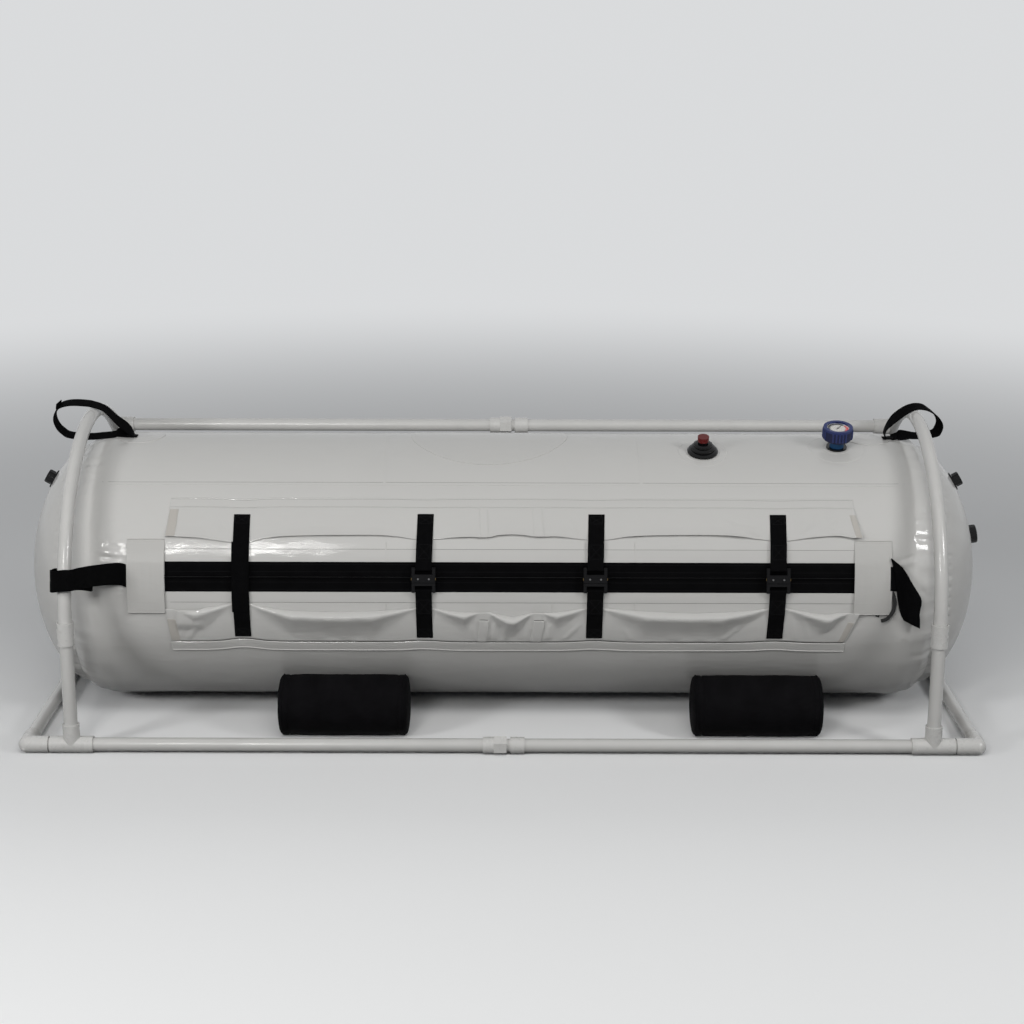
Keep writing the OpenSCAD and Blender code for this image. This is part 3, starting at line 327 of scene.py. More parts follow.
SHELL = vinyl("shell_vinyl", (0.545, 0.54, 0.525))
PATCH = vinyl("patch_vinyl", (0.53, 0.525, 0.51), coat=0.6, coat_rough=0.06)
# thin dark strips of painted shade, laid along seams, beside beads and in the folds of the flaps
SHADE_STRIP = vinyl("painted_shadow_strip", (0.09, 0.088, 0.083), coat=0.1)
COVER_MAT = vinyl("cover_vinyl", (0.48, 0.475, 0.46), rough=0.5, coat=0.12, coat_rough=0.2, grain=0.00012)
# darker and warmer than the flaps: painted shade on the folded hem tabs
HEM_SHADE = vinyl("hem_painted_shade", (0.45, 0.43, 0.4), coat=0.15)
SEAL = vinyl("seal_sheet", (0.55, 0.55, 0.52), coat=0.2)
WEBBING = webbing("strap_webbing", (0.0022, 0.0022, 0.0025))
TAPE = cloth("zipper_tape", (0.0022, 0.0022, 0.0025), 420, 0.00022, sheen=0.0, specular=0.04)
COIL_MAT = plastic("zipper_teeth", (0.012, 0.012, 0.013), 0.4)
THREAD = plastic("thread", (0.008, 0.008, 0.009), 0.6, grain=0.00002, specular=0.2)
PIPE = plastic("pipe_plastic", (0.56, 0.555, 0.54), 0.2, scratch=0.06, coat=0.2, dent=0.00005)
FITTING = plastic("fitting_plastic", (0.58, 0.575, 0.56), 0.24, scratch=0.08, coat=0.2, dent=0.0001)
BUCKLE = plastic("buckle_plastic", (0.003, 0.003, 0.0035), 0.5, grain=0.00004, specular=0.14)
RIVET = metal("rivet_metal", (0.2, 0.2, 0.2), 0.34)
CLIP = metal("clip_metal", (0.2, 0.14, 0.06), 0.4)
SLIDER = metal("slider_metal", (0.38, 0.38, 0.4), 0.34)
BOOT = plastic("boot_rubber", (0.006, 0.012, 0.05), 0.46, scratch=0.12, grain=0.00005, specular=0.3)
NECK = plastic("black_fitting", (0.0025, 0.0025, 0.003), 0.12, scratch=0.05, coat=0.1, specular=0.22)
DIAL = plastic("dial_face", (0.44, 0.43, 0.4), 0.4)
INK = plastic("dial_ink", (0.01, 0.01, 0.01), 0.5)
RED_INK = plastic("dial_red", (0.5, 0.02, 0.02), 0.5)
BUTTON = plastic("button_red", (0.11, 0.002, 0.0015), 0.14, coat=0.1, specular=0.2)
NUT = plastic("nut_plastic", (0.05, 0.05, 0.055), 0.4, grain=0.00005)
MATTRESS = cloth("mattress_cover", (0.5, 0.51, 0.53), 260, 0.0005)
BOLSTER = cloth("bolster_cover", (0.0042, 0.004, 0.0046), 300, 0.0002, sheen=0.0, specular=0.05)
PULL = plastic("pull_strip", (0.006, 0.006, 0.006), 0.35, scratch=0.1, specular=0.4)
LENS = material("dial_lens", (1, 1, 1), 0.02, transmission=1.0, ior=1.1)

# The gauge's axis and where it meets the tube
GAUGE_N = Vector((0.0, -cos(GAUGE_TILT), sin(GAUGE_TILT)))
GAUGE_O = around(*GAUGE, R)

# The boot's colours, by height and by distance from the axis: a paler blue foot that is painted light, dark
# grooves that are painted shade, and paler ribs and rim that are painted light
n = Nodes(BOOT)
local = n.add("VectorMath", {0: n.co, 1: GAUGE_O}, operation="SUBTRACT")
rise = n.add("VectorMath", {0: local, 1: GAUGE_N}, "Value", operation="DOT_PRODUCT")
out = n.add("VectorMath", {0: local, 1: GAUGE_N}, operation="CROSS_PRODUCT")
out = n.add("VectorMath", {0: out}, "Value", operation="LENGTH")
rise, out = n.math("MULTIPLY", rise, 10), n.math("MULTIPLY", out, 20)
rib = n.math("MAXIMUM", n.ramp(out, [(0.742, 0.0), (0.762, 1.0)]), n.ramp(rise, [(0.52, 0.0), (0.535, 1.0)]))
n.link(n.add("Mix", {"Factor": n.ramp(rise, [(0.24, 0.0), (0.252, 1.0)]), 6: (0.012, 0.06, 0.15, 1),
                     7: n.ramp(rib, [(0.0, (0.009, 0.012, 0.045)), (1.0, (0.026, 0.037, 0.125))])}, 2,
             data_type="RGBA"), "Base Color")

# Building blocks


def piece(name, verts, faces, mats, body="chamber", slot=None, uvs=None, picks=None, sharp=38, close=True):
    """A mesh object that rides on a body. picks gives a material index for each face."""
    mesh = bpy.data.meshes.new(name)
    mesh.from_pydata([tuple(v) for v in verts], [], faces)
    for m in mats if isinstance(mats, (list, tuple)) else [mats]:
        mesh.materials.append(m)
    if picks:
        mesh.polygons.foreach_set("material_index", picks)
    if uvs:
        layer = mesh.uv_layers.new(name="UVMap")
        for loop in mesh.loops:
            layer.data[loop.index].uv = uvs[loop.vertex_index]
    if close:
        bm = bmesh.new()
        bm.from_mesh(mesh)
        bmesh.ops.recalc_face_normals(bm, faces=bm.faces)
        bm.to_mesh(mesh)
        bm.free()
    mesh.polygons.foreach_set("use_smooth", [True] * len(mesh.polygons))
    mesh.set_sharp_from_angle(angle=radians(sharp))
    obj = bpy.data.objects.new(name, mesh)
    scene.collection.objects.link(obj)
    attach(obj, body)
    return obj


class Parts:
    """Collects several meshes into one piece."""

    def __init__(self):
        self.verts, self.faces, self.uvs, self.picks = [], [], [], []

    def add(self, verts, faces, uvs=None, pick=0):
        base = len(self.verts)
        self.verts += verts
        self.faces += [tuple(base + i for i in f) for f in faces]
        self.uvs += uvs or [(v[0], v[2]) for v in verts]
        self.picks += [pick] * len(faces)

    def lay(self, us, vs, place, thick, pick=0):
        """Adds a slab. us and vs are (from, to, step) or lists of stations."""
        us, vs = (frange(*w) if isinstance(w, tuple) else w for w in (us, vs))
        self.add(*slab(us, vs, place, thick), pick=pick)

    def make(self, name, mats, **more):
        return piece(name, self.verts, self.faces, mats, uvs=self.uvs, picks=self.picks, **more)


def eased(values, inset):
    """Adds a station just inside each end, so that an edge can be rounded."""
    return [values[0], values[0] + inset] + values[1:-1] + [values[-1] - inset, values[-1]]


def layers(rows, cols, turned=False):
    """Faces of a closed sheet: two layers of rows x cols points, and the walls between their edges.

    turned starts the first column's walls at their next corner, so that they split along the other diagonal.
    """
    layer = rows * cols
    faces, walls = [], []
    for r in range(rows - 1):
        for a in range(r * cols, r * cols + cols - 1):
            b = a + cols
            faces += [(layer + a, layer + a + 1, layer + b + 1, layer + b), (a, b, b + 1, a + 1)]
    last = layer - cols
    for c in range(cols - 1):
        walls += [(c, c + 1), (last + c + 1, last + c)]
    for a in range(0, last, cols):
        first = (a + cols, a, a + layer, a + cols + layer)
        faces.append(first[1:] + first[:1] if turned else first)
        walls.append((a + cols - 1, a + 2 * cols - 1))
    return faces + [(a, b, b + layer, a + layer) for a, b in walls]


def rings(rows, sides, closed=False):
    """Quads between rings of points. closed joins the last ring to the first."""
    quads = []
    for j in range(rows if closed else rows - 1):
        a, b = j * sides, (j + 1) % rows * sides
        for k in range(sides):
            c = (k + 1) % sides
            quads.append((a + k, a + c, b + c, b + k))
    return quads


def capped(rows, ends):
    """Closed body through rings of points, with a point in the middle of each end."""
    verts, sides = sum(rows, []), len(rows[0])
    n = len(verts)
    fans = [(first + k, first + (k + 1) % sides, n + e) for e, first in enumerate((0, n - sides))
            for k in range(sides)]
    return verts + list(ends), rings(len(rows), sides) + fans


def turns(n):
    return [2 * pi * k / n for k in range(n)]


def slab(us, vs, place, thick):
    """Closed sheet over a grid. place(u, v, h) gives the point h over its underside. Edges are rounded."""
    us, vs = (eased(w, copysign(thick * 0.5, w[-1] - w[0])) for w in (us, vs))
    verts, uvs = [], []
    for top in (0, 1):
        for v in vs:
            for u in us:
                edge = u in (us[0], us[-1]) or v in (vs[0], vs[-1])
                verts.append(place(u, v, top * thick * (0.5 if edge else 1.0)))
                uvs.append((u / 1000, v / 1000))
    return verts, layers(len(vs), len(us)), uvs


def over(height):
    """Placement of a slab whose underside is at a height, or height(x, arc), from the tube's axis."""
    if callable(height):
        return lambda u, v, h: around(u, v, height(u, v) + h)
    return lambda u, v, h: around(u, v, height + h)


def on_skin(lift=GAP):
    return over(lambda u, v: skin(u, v) + lift)


def raised(place, lift):
    return lambda u, v, h: place(u, v, lift + h)


def ribbon(path, w0, w1, thick, place, cross=6):
    """Webbing along a 2D path, from w0 to w1 across. place(p, w) gives a 3D point in mm."""
    ws = eased(frange(w0, w1, (w1 - w0) / cross), min(0.8, thick * 0.4))
    run = [0.0]
    for a, b in zip(path, path[1:]):
        run.append(run[-1] + dist(a, b))
    verts, uvs = [], []
    for s in (1, -1):
        for i, p in enumerate(path):
            a, b = path[max(i - 1, 0)], path[min(i + 1, len(path) - 1)]
            tx, ty = b[0] - a[0], b[1] - a[1]
            length = hypot(tx, ty) or 1.0
            for w in ws:
                h = s * thick / 2 * (0.45 if w in (ws[0], ws[-1]) else 1.0)
                q = place((p[0] - ty / length * h, p[1] + tx / length * h), w)
                verts.append(Vector(q) / 1000)
                uvs.append((run[i] / 1000, w / 1000))
    return verts, layers(len(path), len(ws), turned=True), uvs


def span(points, i, j):
    """Coordinate j of the four points that shape a smooth curve from point i to the next."""
    return [points[min(max(k, 0), len(points) - 1)][j] for k in range(i - 1, i + 3)]


def curve(a, b, c, d, t):
    return 0.5 * (2 * b + (c - a) * t + (2 * a - 5 * b + 4 * c - d) * t * t + (3 * b - a - 3 * c + d) * t ** 3)


def spline(points, n):
    """Smooth curve through 2D points, n steps a span."""
    out = [tuple(curve(*span(points, i, j), k / n) for j in (0, 1))
           for i in range(len(points) - 1) for k in range(n)]
    return out + [points[-1]]


def along(points, x):
    """Height at x of a smooth line through points."""
    if x <= points[0][0]:
        return points[0][1]
    for i, (b, c) in enumerate(zip(points, points[1:])):
        if x <= c[0]:
            return curve(*span(points, i, 1), (x - b[0]) / (c[0] - b[0]))
    return points[-1][1]


def arc_normal(arc):
    a = arc / R
    return Vector((0.0, -cos(a), sin(a)))


# A stitch: its corners along, across and out, and its faces
STITCH = ((-1, 0, -0.2), (-0.7, -1, 0.2), (-0.7, 1, 0.2), (-0.6, 0, 1),
          (1, 0, -0.2), (0.7, -1, 0.2), (0.7, 1, 0.2), (0.6, 0, 1))
STITCH_FACES = [(0, 1, 3), (0, 3, 2), (4, 7, 5), (4, 6, 7),
                (1, 5, 7, 3), (2, 3, 7, 6), (0, 4, 5, 1), (0, 2, 6, 4)]


def stitches(parts, line, pitch=4.2, length=2.9, width=0.7, height=0.45):
    """A row of stitches along 3D points in metres, each with its outward normal."""
    run = [0.0]
    for (a, _), (b, _) in zip(line, line[1:]):
        run.append(run[-1] + (b - a).length * 1000)
    s, i = pitch * 0.3, 0
    while s + length < run[-1]:
        while run[i + 1] < s + length / 2:
            i += 1
        t = (s + length / 2 - run[i]) / max(1e-9, run[i + 1] - run[i])
        a, b = line[i], line[i + 1]
        mid = a[0].lerp(b[0], t)
        out = a[1].lerp(b[1], t).normalized()
        ahead = (b[0] - a[0]).normalized()
        side = ahead.cross(out).normalized()
        parts.add([mid + (ahead * u * length / 2 + side * w * width / 2 + out * h * height) / 1000
                   for u, w, h in STITCH], STITCH_FACES)
        s += pitch


# The tube


def thicken(obj):
    """Gives the skin its wall, inwards."""
    wall = obj.modifiers.new("wall", "SOLIDIFY")
    wall.thickness, wall.offset = 0.002, 1.0


# Stations round the tube, first those across the door's slot, and along it
across = frange(*SLOT_ARC, 5.0)
ARCS = across + frange(SLOT_ARC[1], SLOT_ARC[0] + 2 * pi * R, 4.4)[1:-1]
gathers = frange(STRAIGHT, SEAM, 3.6)
middle = frange(-STRAIGHT, SLOT_X[0], 6)[:-1] + frange(*SLOT_X, 20) + frange(SLOT_X[1], STRAIGHT, 5)[1:]
XS = sorted(set(round(x, 4) for x in middle + gathers + [-x for x in gathers]))


def in_slot(face):
    """Whether a face of the shell, counted ring by ring, lies in the door's slot."""
    i, j = divmod(face, len(ARCS))
    return j < len(across) - 1 and SLOT_X[0] < (XS[i] + XS[i + 1]) / 2 < SLOT_X[1]


shell = piece("tube_shell", [around(x, arc, skin(x, arc)) for x in XS for arc in ARCS],
              [face for k, face in enumerate(rings(len(XS), len(ARCS))) if not in_slot(k)], SHELL,
              slot="shell", close=False, sharp=60, uvs=[(x / 1000, arc / 1000) for x in XS for arc in ARCS])
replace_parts(shell, "body_panel")
thicken(shell)

for side, name in ((-1, "left"), (1, "right")):
    xs = [SEAM + 3.2 * k for k in range(15)]
    t = asin((xs[-1] - STRAIGHT) / DOME)
    xs += [STRAIGHT + DOME * sin(t + (pi / 2 - t) * k / 26) for k in range(1, 26)]
    verts = [around(side * x, arc, skin(side * x, arc)) for x in xs for arc in ARCS]
    tip = len(verts)
    verts.append(around(side * (STRAIGHT + DOME), 0, 0))
    faces = rings(len(xs), len(ARCS))
    faces += [(*face[3:1:-1], tip) for face in faces[-len(ARCS):]]
    if side < 0:
        faces = [face[::-1] for face in faces]
    dome = piece(f"end_dome_{name}", verts, faces, SHELL, slot="shell", close=False, sharp=60,
                 uvs=[(v[0], v[2]) for v in verts])
    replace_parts(dome, f"end_cap_{name}")
    thicken(dome)

# The long seam above the door and its shadow line, two short seams, and the tapes behind the end seams
seams = Parts()
seams.lay((-995, 995, 18), (303, 311, 4), on_skin(), 0.6)
seams.lay((-1000, 1000, 18), (311.2, 311.8, 0.3), on_skin(), 0.25, pick=1)
for x in (-300, 340):
    seams.lay((x, x + 7, 3.5), (311, 520, 18), on_skin(), 0.5)
for side in (-1, 1):
    seams.lay((side * (SEAM - 15), side * (SEAM + 15), 3), (0, 2 * pi * R - 0.2, 12), on_skin(-3.4), 1.2)
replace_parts(seams.make("seam_strips", [SHELL, SHADE_STRIP], slot="shell"), "seam_tapes")


# A bead's section: shares of its width and height
BEAD = ((-0.5, 0.0), (-0.3, 0.75), (0.0, 1.0), (0.3, 0.75), (0.5, 0.0))


def weld_line(parts, xs, arc, width, height, lift=0.0, pick=0):
    """A low round bead along the tube. xs is (from, to, step) and arc a number or a function of x."""
    xs = frange(*xs)
    f = arc if callable(arc) else (lambda x: arc)
    verts = [around(x, f(x) + o * width, skin(x, f(x)) + lift + k * height) for x in xs for o, k in BEAD]
    n = len(BEAD)
    starts = [i * n + j for i in range(len(xs) - 1) for j in range(n - 1)]
    parts.add(verts, [(a, a + 1, a + n + 1, a + n) for a in starts], pick=pick)


# Facing strips that carry the zipper, seen as a line above and below the tapes: a bead, and beside it a thin
# dark strip of painted shade
facing = Parts()
for a, b, s in ((SLOT_ARC[0], -1, -1), (SLOT_ARC[1], 131, 1)):
    facing.lay((SLOT_X[0], DOOR[1] + 4, 20), (a, b, 6), on_skin(), 0.7)
    weld_line(facing, (SLOT_X[0] + 3, DOOR[1], 12), b - 1.2 * s, 2.2, 0.15, 0.65)
    facing.lay((SLOT_X[0] + 3, DOOR[1], 20), (b, b + 0.8 * s, 0.4), on_skin(), 0.2, pick=1)
for arcs, joins in (((101, 150), (-288, 202, 325)), ((-2, -40), (-288, 122, 325))):
    for x in joins:
        facing.lay((x - 1.5, x + 1.5, 1.5), (*arcs, 6), on_skin(0.5), 0.6)
facing.make("door_facings", [PATCH, SHADE_STRIP], slot="patch")

# Flaps


def drawn(x):
    """How much the straps draw the welded strips in: 1 under the plain strap, less under the others."""
    return sum((1.0 if k == 0 else 0.5) * bell(x - s, 52) for k, s in enumerate(STRAPS))


# The hanging edge of the upper flap and the crest of the lower one, as (x, arc)
UPPER_EDGE = [(-832, 161), (-812, 160.5), (-755, 158), (-718, 153.5), (-672, 147), (-644, 145), (-622, 147),
              (-593, 155.5), (-556, 160.5), (-506, 163.3), (-395, 164.8), (-308, 165), (-258, 161.6),
              (-216, 155.5), (-195, 154), (-174, 155), (-121, 159.6), (-72, 161), (-55, 159.6), (-32, 160.6),
              (-15, 165), (15, 167.4), (52, 166), (72, 162.8), (90, 161.6), (129, 162.8), (164, 159.9),
              (206, 155), (227, 154), (253, 155), (300, 162), (362, 165.7), (462, 167), (536, 166.4),
              (598, 161.6), (650, 155.3), (676, 153.5), (705, 154.3), (747, 160.4), (797, 164.8), (834, 165),
              (859, 160.9), (885, 160)]
LOWER_CREST = [(-834, -29), (-800, -31), (-754, -30), (-717, -24), (-672, -16), (-644, -14), (-620, -17),
               (-590, -24), (-546, -31), (-496, -35), (-420, -37), (-308, -34), (-258, -30), (-216, -26),
               (-195, -25), (-172, -26), (-134, -33), (-95, -37), (-64, -37), (-33, -37), (-12, -42), (27, -49),
               (60, -41), (73, -38), (102, -38), (122, -37), (156, -33), (202, -26), (227, -24), (250, -26),
               (288, -29), (362, -34), (462, -38), (560, -35), (612, -31), (655, -25), (676, -23), (700, -25),
               (735, -31), (772, -38), (804, -40), (830, -36), (880, -36)]
# What holds the lower flap flat: middle, half width, and how far its folds reach
HOLDS = [(s, 20, 108) for s in STRAPS] + [(-48, 13, 46), (87.5, 14.5, 46), (-823, 11, 60), (866, 15, 46)]
# The two narrow stiffeners in the middle of the flaps, from x to x
STIFF = ((-61, -35), (73, 102))
CREST = 16.0        # how far the slack lower flap stands off at most
SHEET = 1.5         # thickness of the flaps
UPPER_WIDE, LOWER_WIDE = 80, 82


def held(x):
    """Share of the flap's width that lies flat at x, from its root up: 1 at a strap or a stiff end."""
    return max(0.0, max(1 - max(0.0, abs(x - c) - half) / reach for c, half, reach in HOLDS))


def crest(x, t):
    """Height of the slack lower flap: it swells out from its root and turns back over a round crest."""
    h = held(x)
    q = max(0.0, min(1.0, (t - 0.86 * h) / max(0.03, 1 - 0.86 * h)))
    return CREST * (1 - h) ** 0.85 * q ** 2.2 * (1 - q ** 12) / 0.60


# Single wrinkles in the flaps: from x, arc to x, arc, with width and height
UPPER_FOLDS = (
    (-722, 214, -690, 168, 5.0, -1.71), (-712, 214, -680, 172, 5.0, 1.14), (-258, 206, -226, 168, 6.0, -1.52),
    (-270, 205, -236, 165, 6.0, 0.95), (166, 200, 186, 172, 4.0, 1.9), (545, 202, 640, 168, 6.0, 3.04),
    (552, 214, 600, 178, 6.0, -1.71), (540, 168, 600, 164, 4.0, 2.28), (735, 176, 778, 218, 4.0, 2.85),
    (748, 170, 790, 206, 5.0, -1.9), (812, 182, 826, 208, 5.0, 2.66), (796, 214, 836, 218, 4.0, 1.9),
    (798, 176, 842, 168, 5.0, 1.71), (60, 178, 64, 200, 3.0, 1.52))
LOWER_FOLDS = (
    (-770, -106, -690, -42, 8.0, -3.0), (-800, -104, -792, -60, 5.0, 2.0), (-778, -106, -762, -60, 6.0, 2.4),
    (-38, -44, -36, -108, 3.5, 3.0), (-22, -54, -20, -108, 5.0, 2.6), (8, -60, 6, -108, 5.0, 2.8),
    (-8, -60, -8, -108, 5.0, -2.4), (40, -56, 46, -108, 6.0, 1.4), (62, -50, 60, -108, 5.0, 1.6),
    (-76, -60, -66, -108, 5.0, 1.6), (116, -56, 112, -106, 6.0, 2.4), (128, -104, 182, -40, 7.0, -2.6),
    (146, -106, 196, -52, 6.0, 2.0), (170, -104, 204, -60, 5.0, -1.6), (318, -106, 300, -70, 6.0, 1.2),
    (560, -104, 640, -38, 7.0, -2.0), (545, -104, 585, -66, 6.0, 1.6), (592, -106, 612, -84, 5.0, -1.2),
    (712, -36, 724, -104, 5.0, 1.8), (722, -42, 746, -106, 6.0, -2.0), (744, -50, 762, -104, 5.0, 1.6),
    (790, -98, 842, -44, 10.0, -3.2))


def end_tabs(x, *ends):
    """Rise of the doubled hem, 24 wide, at the left and right end of a flap."""
    return 1.4 * sum(smooth(end, end + 24 * s, x) * (1 - smooth(end + 26 * s, end + 29 * s, x))
                     for end, s in zip(ends, (1, -1)))


def stiffened(x):
    return sum(smooth(a - 1.5, a, x) * (1 - smooth(b, b + 1.5, x)) for a, b in STIFF)


def off_straps(x, half):
    """How far x lies outside the straps, each taken as half to either side of its middle."""
    return min(max(0.0, abs(x - s) - half) for s in STRAPS)


def upper_place(u, v, h):
    """Point on the upper flap: u from 0 to 1000 along the door, v from its weld to its hanging edge."""
    t = v / UPPER_WIDE
    x0, x1 = -824 - 8 * t, 867 + 18 * t
    x = x0 + (x1 - x0) * u / 1000
    root = 239.4 - 3 * drawn(x)
    arc = root + (along(UPPER_EDGE, x) - root) * t
    free = min(1.0, off_straps(x, 20) / 70)
    lift = free * (6.0 * t ** 5 + 0.8 * t * wave(x / 120, t, 3)) + end_tabs(x, -832, 885)
    lift += 0.9 * stiffened(x) * t ** 0.3 + 3.5 * smooth(846, 885, x) * t
    lift += sum(fold(x, arc, *crease) for crease in UPPER_FOLDS)
    return around(x, arc, skin(x, arc) + 0.3 + max(0.0, lift) + h)


def lower_place(u, v, h):
    """Point on the lower flap: u from 0 to 1000 along the door, v from its root over its crest."""
    t = v / LOWER_WIDE
    x0, x1 = -824 - 10 * t, 850 + 30 * t
    x = x0 + (x1 - x0) * u / 1000
    root = -109.2 + 9 * drawn(x)
    arc = root + (along(LOWER_CREST, x) + 11 - root) * t
    slack = smooth(0, 30, off_straps(x, 21)) * smooth(0.0, 0.15, t) * (1 - smooth(0.80, 0.90, t))
    lift = crest(x, t) + 0.5 * t + end_tabs(x, -834, 880)
    lift += slack * (sum(fold(x, arc, *crease) for crease in LOWER_FOLDS) + 1.3 * wave(x / 34, t * 1.2, 8))
    lift += 2.4 * stiffened(x) * t ** 0.5 + 7.0 * smooth(852, 880, x) * t + 2.0 * smooth(-815, -834, x) * t
    # the free edge stands open here, where the zipper's pull comes to rest
    gape = smooth(0.3, 0.64, t) * smooth(-813, -803, x) * (1 - smooth(-752, -725, x))
    return around(x, arc, skin(x, arc) + 0.3 + max(0.0, lift, 8.2 * gape) + h)


for name, place, wide, stations in (
        ("upper_flap", upper_place, 0.080, frange(0, 72, 6) + [74.5, 77, UPPER_WIDE]),
        ("lower_flap", lower_place, 0.082, frange(0, 57, 4) + frange(59.5, LOWER_WIDE, 2.5))):
    p = Parts()
    p.lay((0, 1000, 3.0), stations, place, SHEET)
    flap = p.make(f"{name}_sheet", PATCH, slot="patch", sharp=50)
    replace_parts(flap, name)


def rooted(root, draw, lift, s=1):
    """Placement of a strip that is drawn in by the straps. s is -1 where it runs down from its root."""
    return lambda u, v, h: around(u, root + draw * drawn(u) + s * v, skin(u, root + s * v) + lift + h)


strips = Parts()
strips.lay((-824, 867, 12), (0, 25, 5), rooted(239.6, -3, GAP), 1.3)
strips.lay((-824, 850, 12), (0, 27, 5), rooted(-112.2, 9, GAP, -1), 1.8)
# weld beads along the strips, with thin dark lines of painted shade beside them and in the fold where each flap
# turns over its strip
weld_line(strips, (-822, 866, 10), lambda x: 263 - 4 * drawn(x), 4.0, 0.9, 0.9)
weld_line(strips, (-822, 866, 10), lambda x: 260.6 - 4 * drawn(x), 0.8, 0.2, 1.2, pick=1)
weld_line(strips, (-822, 849, 10), lambda x: -137.4 + 9 * drawn(x), 4.6, 1.3, 1.7)
strips.lay((-800, 845, 12), (0, 3.0, 0.6), rooted(-112.2, 9, 0.4), 0.4, pick=1)
strips.lay((-822, 849, 12), (0, 1.5, 0.75), rooted(-141.3, 9, 0.0), 0.3, pick=1)
# doubled hems at the flaps' ends, in a darker, warmer vinyl that is painted shade
on_flap = SHEET - GAP
for place, us, vs in ((upper_place, (1, 14, 3), (8, 79, 6)), (lower_place, (1, 14, 3), (2, 58, 6)),
                      (upper_place, (990, 999, 3), (20, 79, 6)), (lower_place, (989, 998, 3), (2, 58, 6))):
    strips.lay(us, vs, raised(place, on_flap), 0.8, pick=2)
# stiffeners, with a shadow line under the lower flap's
for u0, u1 in ((452.0, 464.5), (529.0, 544.0)):
    strips.lay((u0, u1, 3), (6, 79, 6), raised(upper_place, on_flap), 0.7)
for u0, u1 in ((453.6, 468.2), (532.8, 549.4)):
    strips.lay((u0, u1, 3), (1, 62, 5), raised(lower_place, on_flap), 1.5)
    strips.lay((u0 + 0.3, u1 - 0.3, 3), (62.4, 64, 0.8), raised(lower_place, SHEET), 0.4, pick=1)
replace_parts(strips.make("flap_weld_strips", [PATCH, SHADE_STRIP, HEM_SHADE], slot="patch"), "flap_strips")

# Covers over the zipper's ends


def cover_under(u, arc):
    """Underside of a cover: welded above, raised over the slider's way."""
    base = skin(u, arc) + GAP
    if arc > 151:
        return base
    if arc > 98:
        return base + (TUNNEL - base) * ((151 - arc) / 53) ** 0.9
    return TUNNEL + (0.5 * wave(u / 16, arc / 70, 3) + 0.4 * wave(u / 9, arc / 90, 6)) * smooth(112, 80, arc)


def on_cover(lift):
    return over(lambda u, v: cover_under(u, v) + lift)


for side, name in ((-1, "left"), (1, "right")):
    x0, x1 = sorted((SHIFT + side * HALF, SHIFT + side * (HALF + COVER)))
    within = (x0 + 1, x1 - 1, 4)
    p = Parts()
    p.lay((x0, x1, 4), (156, -28, 4), on_cover(0.0), 1.5)
    # the welded hem along the top, the doubled bottom edge, and the fold above it
    weld_line(p, within, 154.5, 3.6, 1.6, 1.2)
    weld_line(p, within, 150.6, 2.0, 0.35, 1.6)
    p.lay(within, (-26, -28, 0.7), on_cover(1.3), 0.9)
    p.lay(within, (1, 2.6, 0.8), on_cover(1.2), 0.6)
    p.make(f"end_cover_{name}", [COVER_MAT, SHADE_STRIP], slot="patch")
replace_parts(bpy.data.objects["end_cover_left"], "end_covers")

# Zipper

zipper = Parts()
x0, x1 = DOOR[0] - 12, DOOR[1] + COVER - 2


def tape_height(u, arc):
    """The tapes lie a little uneven, and roll up into two lips beside the slit."""
    d = abs(arc - COIL)
    lip = 2.9 * sqrt(max(0.0, 1 - ((d - 2.6) / 2.1) ** 2)) if d <= 4.6 else 0.0
    return 336.4 + lip + 0.25 * wave(u / 60, arc / 12, 2) * smooth(5, 12, d)


for edge, side in ((8, 1), (117, -1)):
    arcs = frange(edge, COIL - side * 5, 5) + [COIL - side * d for d in (4.5, 4, 3.4, 2.6, 1.8, 1.2, 0.8, 0.55)]
    zipper.lay((x0, x1, 14), arcs, over(tape_height), 1.6)
zipper.lay((x0 + 12, x1 - 8, 14), [COIL - 0.55, COIL, COIL + 0.55], over(338.3), 1.0, pick=1)
zip_piece = zipper.make("zipper_band", [TAPE, COIL_MAT], slot="zipper_fabric", sharp=50)
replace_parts(zip_piece, "zipper_tapes", "zipper_coil")

thread = Parts()
for arc in (COIL - 13, COIL + 13, 31, 94):
    line = [(around(x, arc, 338.05), arc_normal(arc)) for x in frange(SLOT_X[0] + 2, DOOR[1], 40)]
    stitches(thread, line, pitch=4.0, length=2.8, width=0.6, height=0.35)

inner = Parts()
for a, b in ((28.5, COIL - 2), (COIL + 2, 96.5)):
    inner.lay((*DOOR, 30), (a, b, 6), over(333.1), 1.6)
inner.lay((DOOR[0] + 2, DOOR[1] - 2, 30), (COIL - 4, COIL + 4, 2), over(331.2), 1.9, pick=1)
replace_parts(inner.make("inner_zipper_band", [TAPE, COIL_MAT], slot="zipper_fabric"), "inner_zipper")

seal = Parts()
seal.lay((x0 - 10, x1 + 10, 30), (-10, 150, 8), over(lambda u, v: 334.9 + 1.9 * smooth(118, 128, v)), 1.1)
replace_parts(seal.make("seal_sheet", SEAL, slot="seal"), "seal_flap")

# Straps

WEB_T = 1.9         # thickness of the webbing
# A buckle's middle, and its bars: how far up and down the tube from it and out, and their radius
BUCKLE_ARC, BAR_V, BAR_W, BAR_R = 57.0, 27.0, 10.0, 2.5
FLAP_TOP = 342.1    # radius of the straps' underside where they lie on the flaps


def strap_under(arc):
    """Radius of a strap's underside: on the flaps at its ends, over the slider's way between."""
    if arc > 178 or arc < -58:
        return FLAP_TOP
    if arc > 150:
        return FLAP_TOP + (TUNNEL - FLAP_TOP) * (178 - arc) / 28
    if arc < -32:
        return FLAP_TOP + (TUNNEL - FLAP_TOP) * (arc + 58) / 26
    return TUNNEL


def yz(arc, r):
    a = arc / R
    return (-r * cos(a), AXIS + r * sin(a))


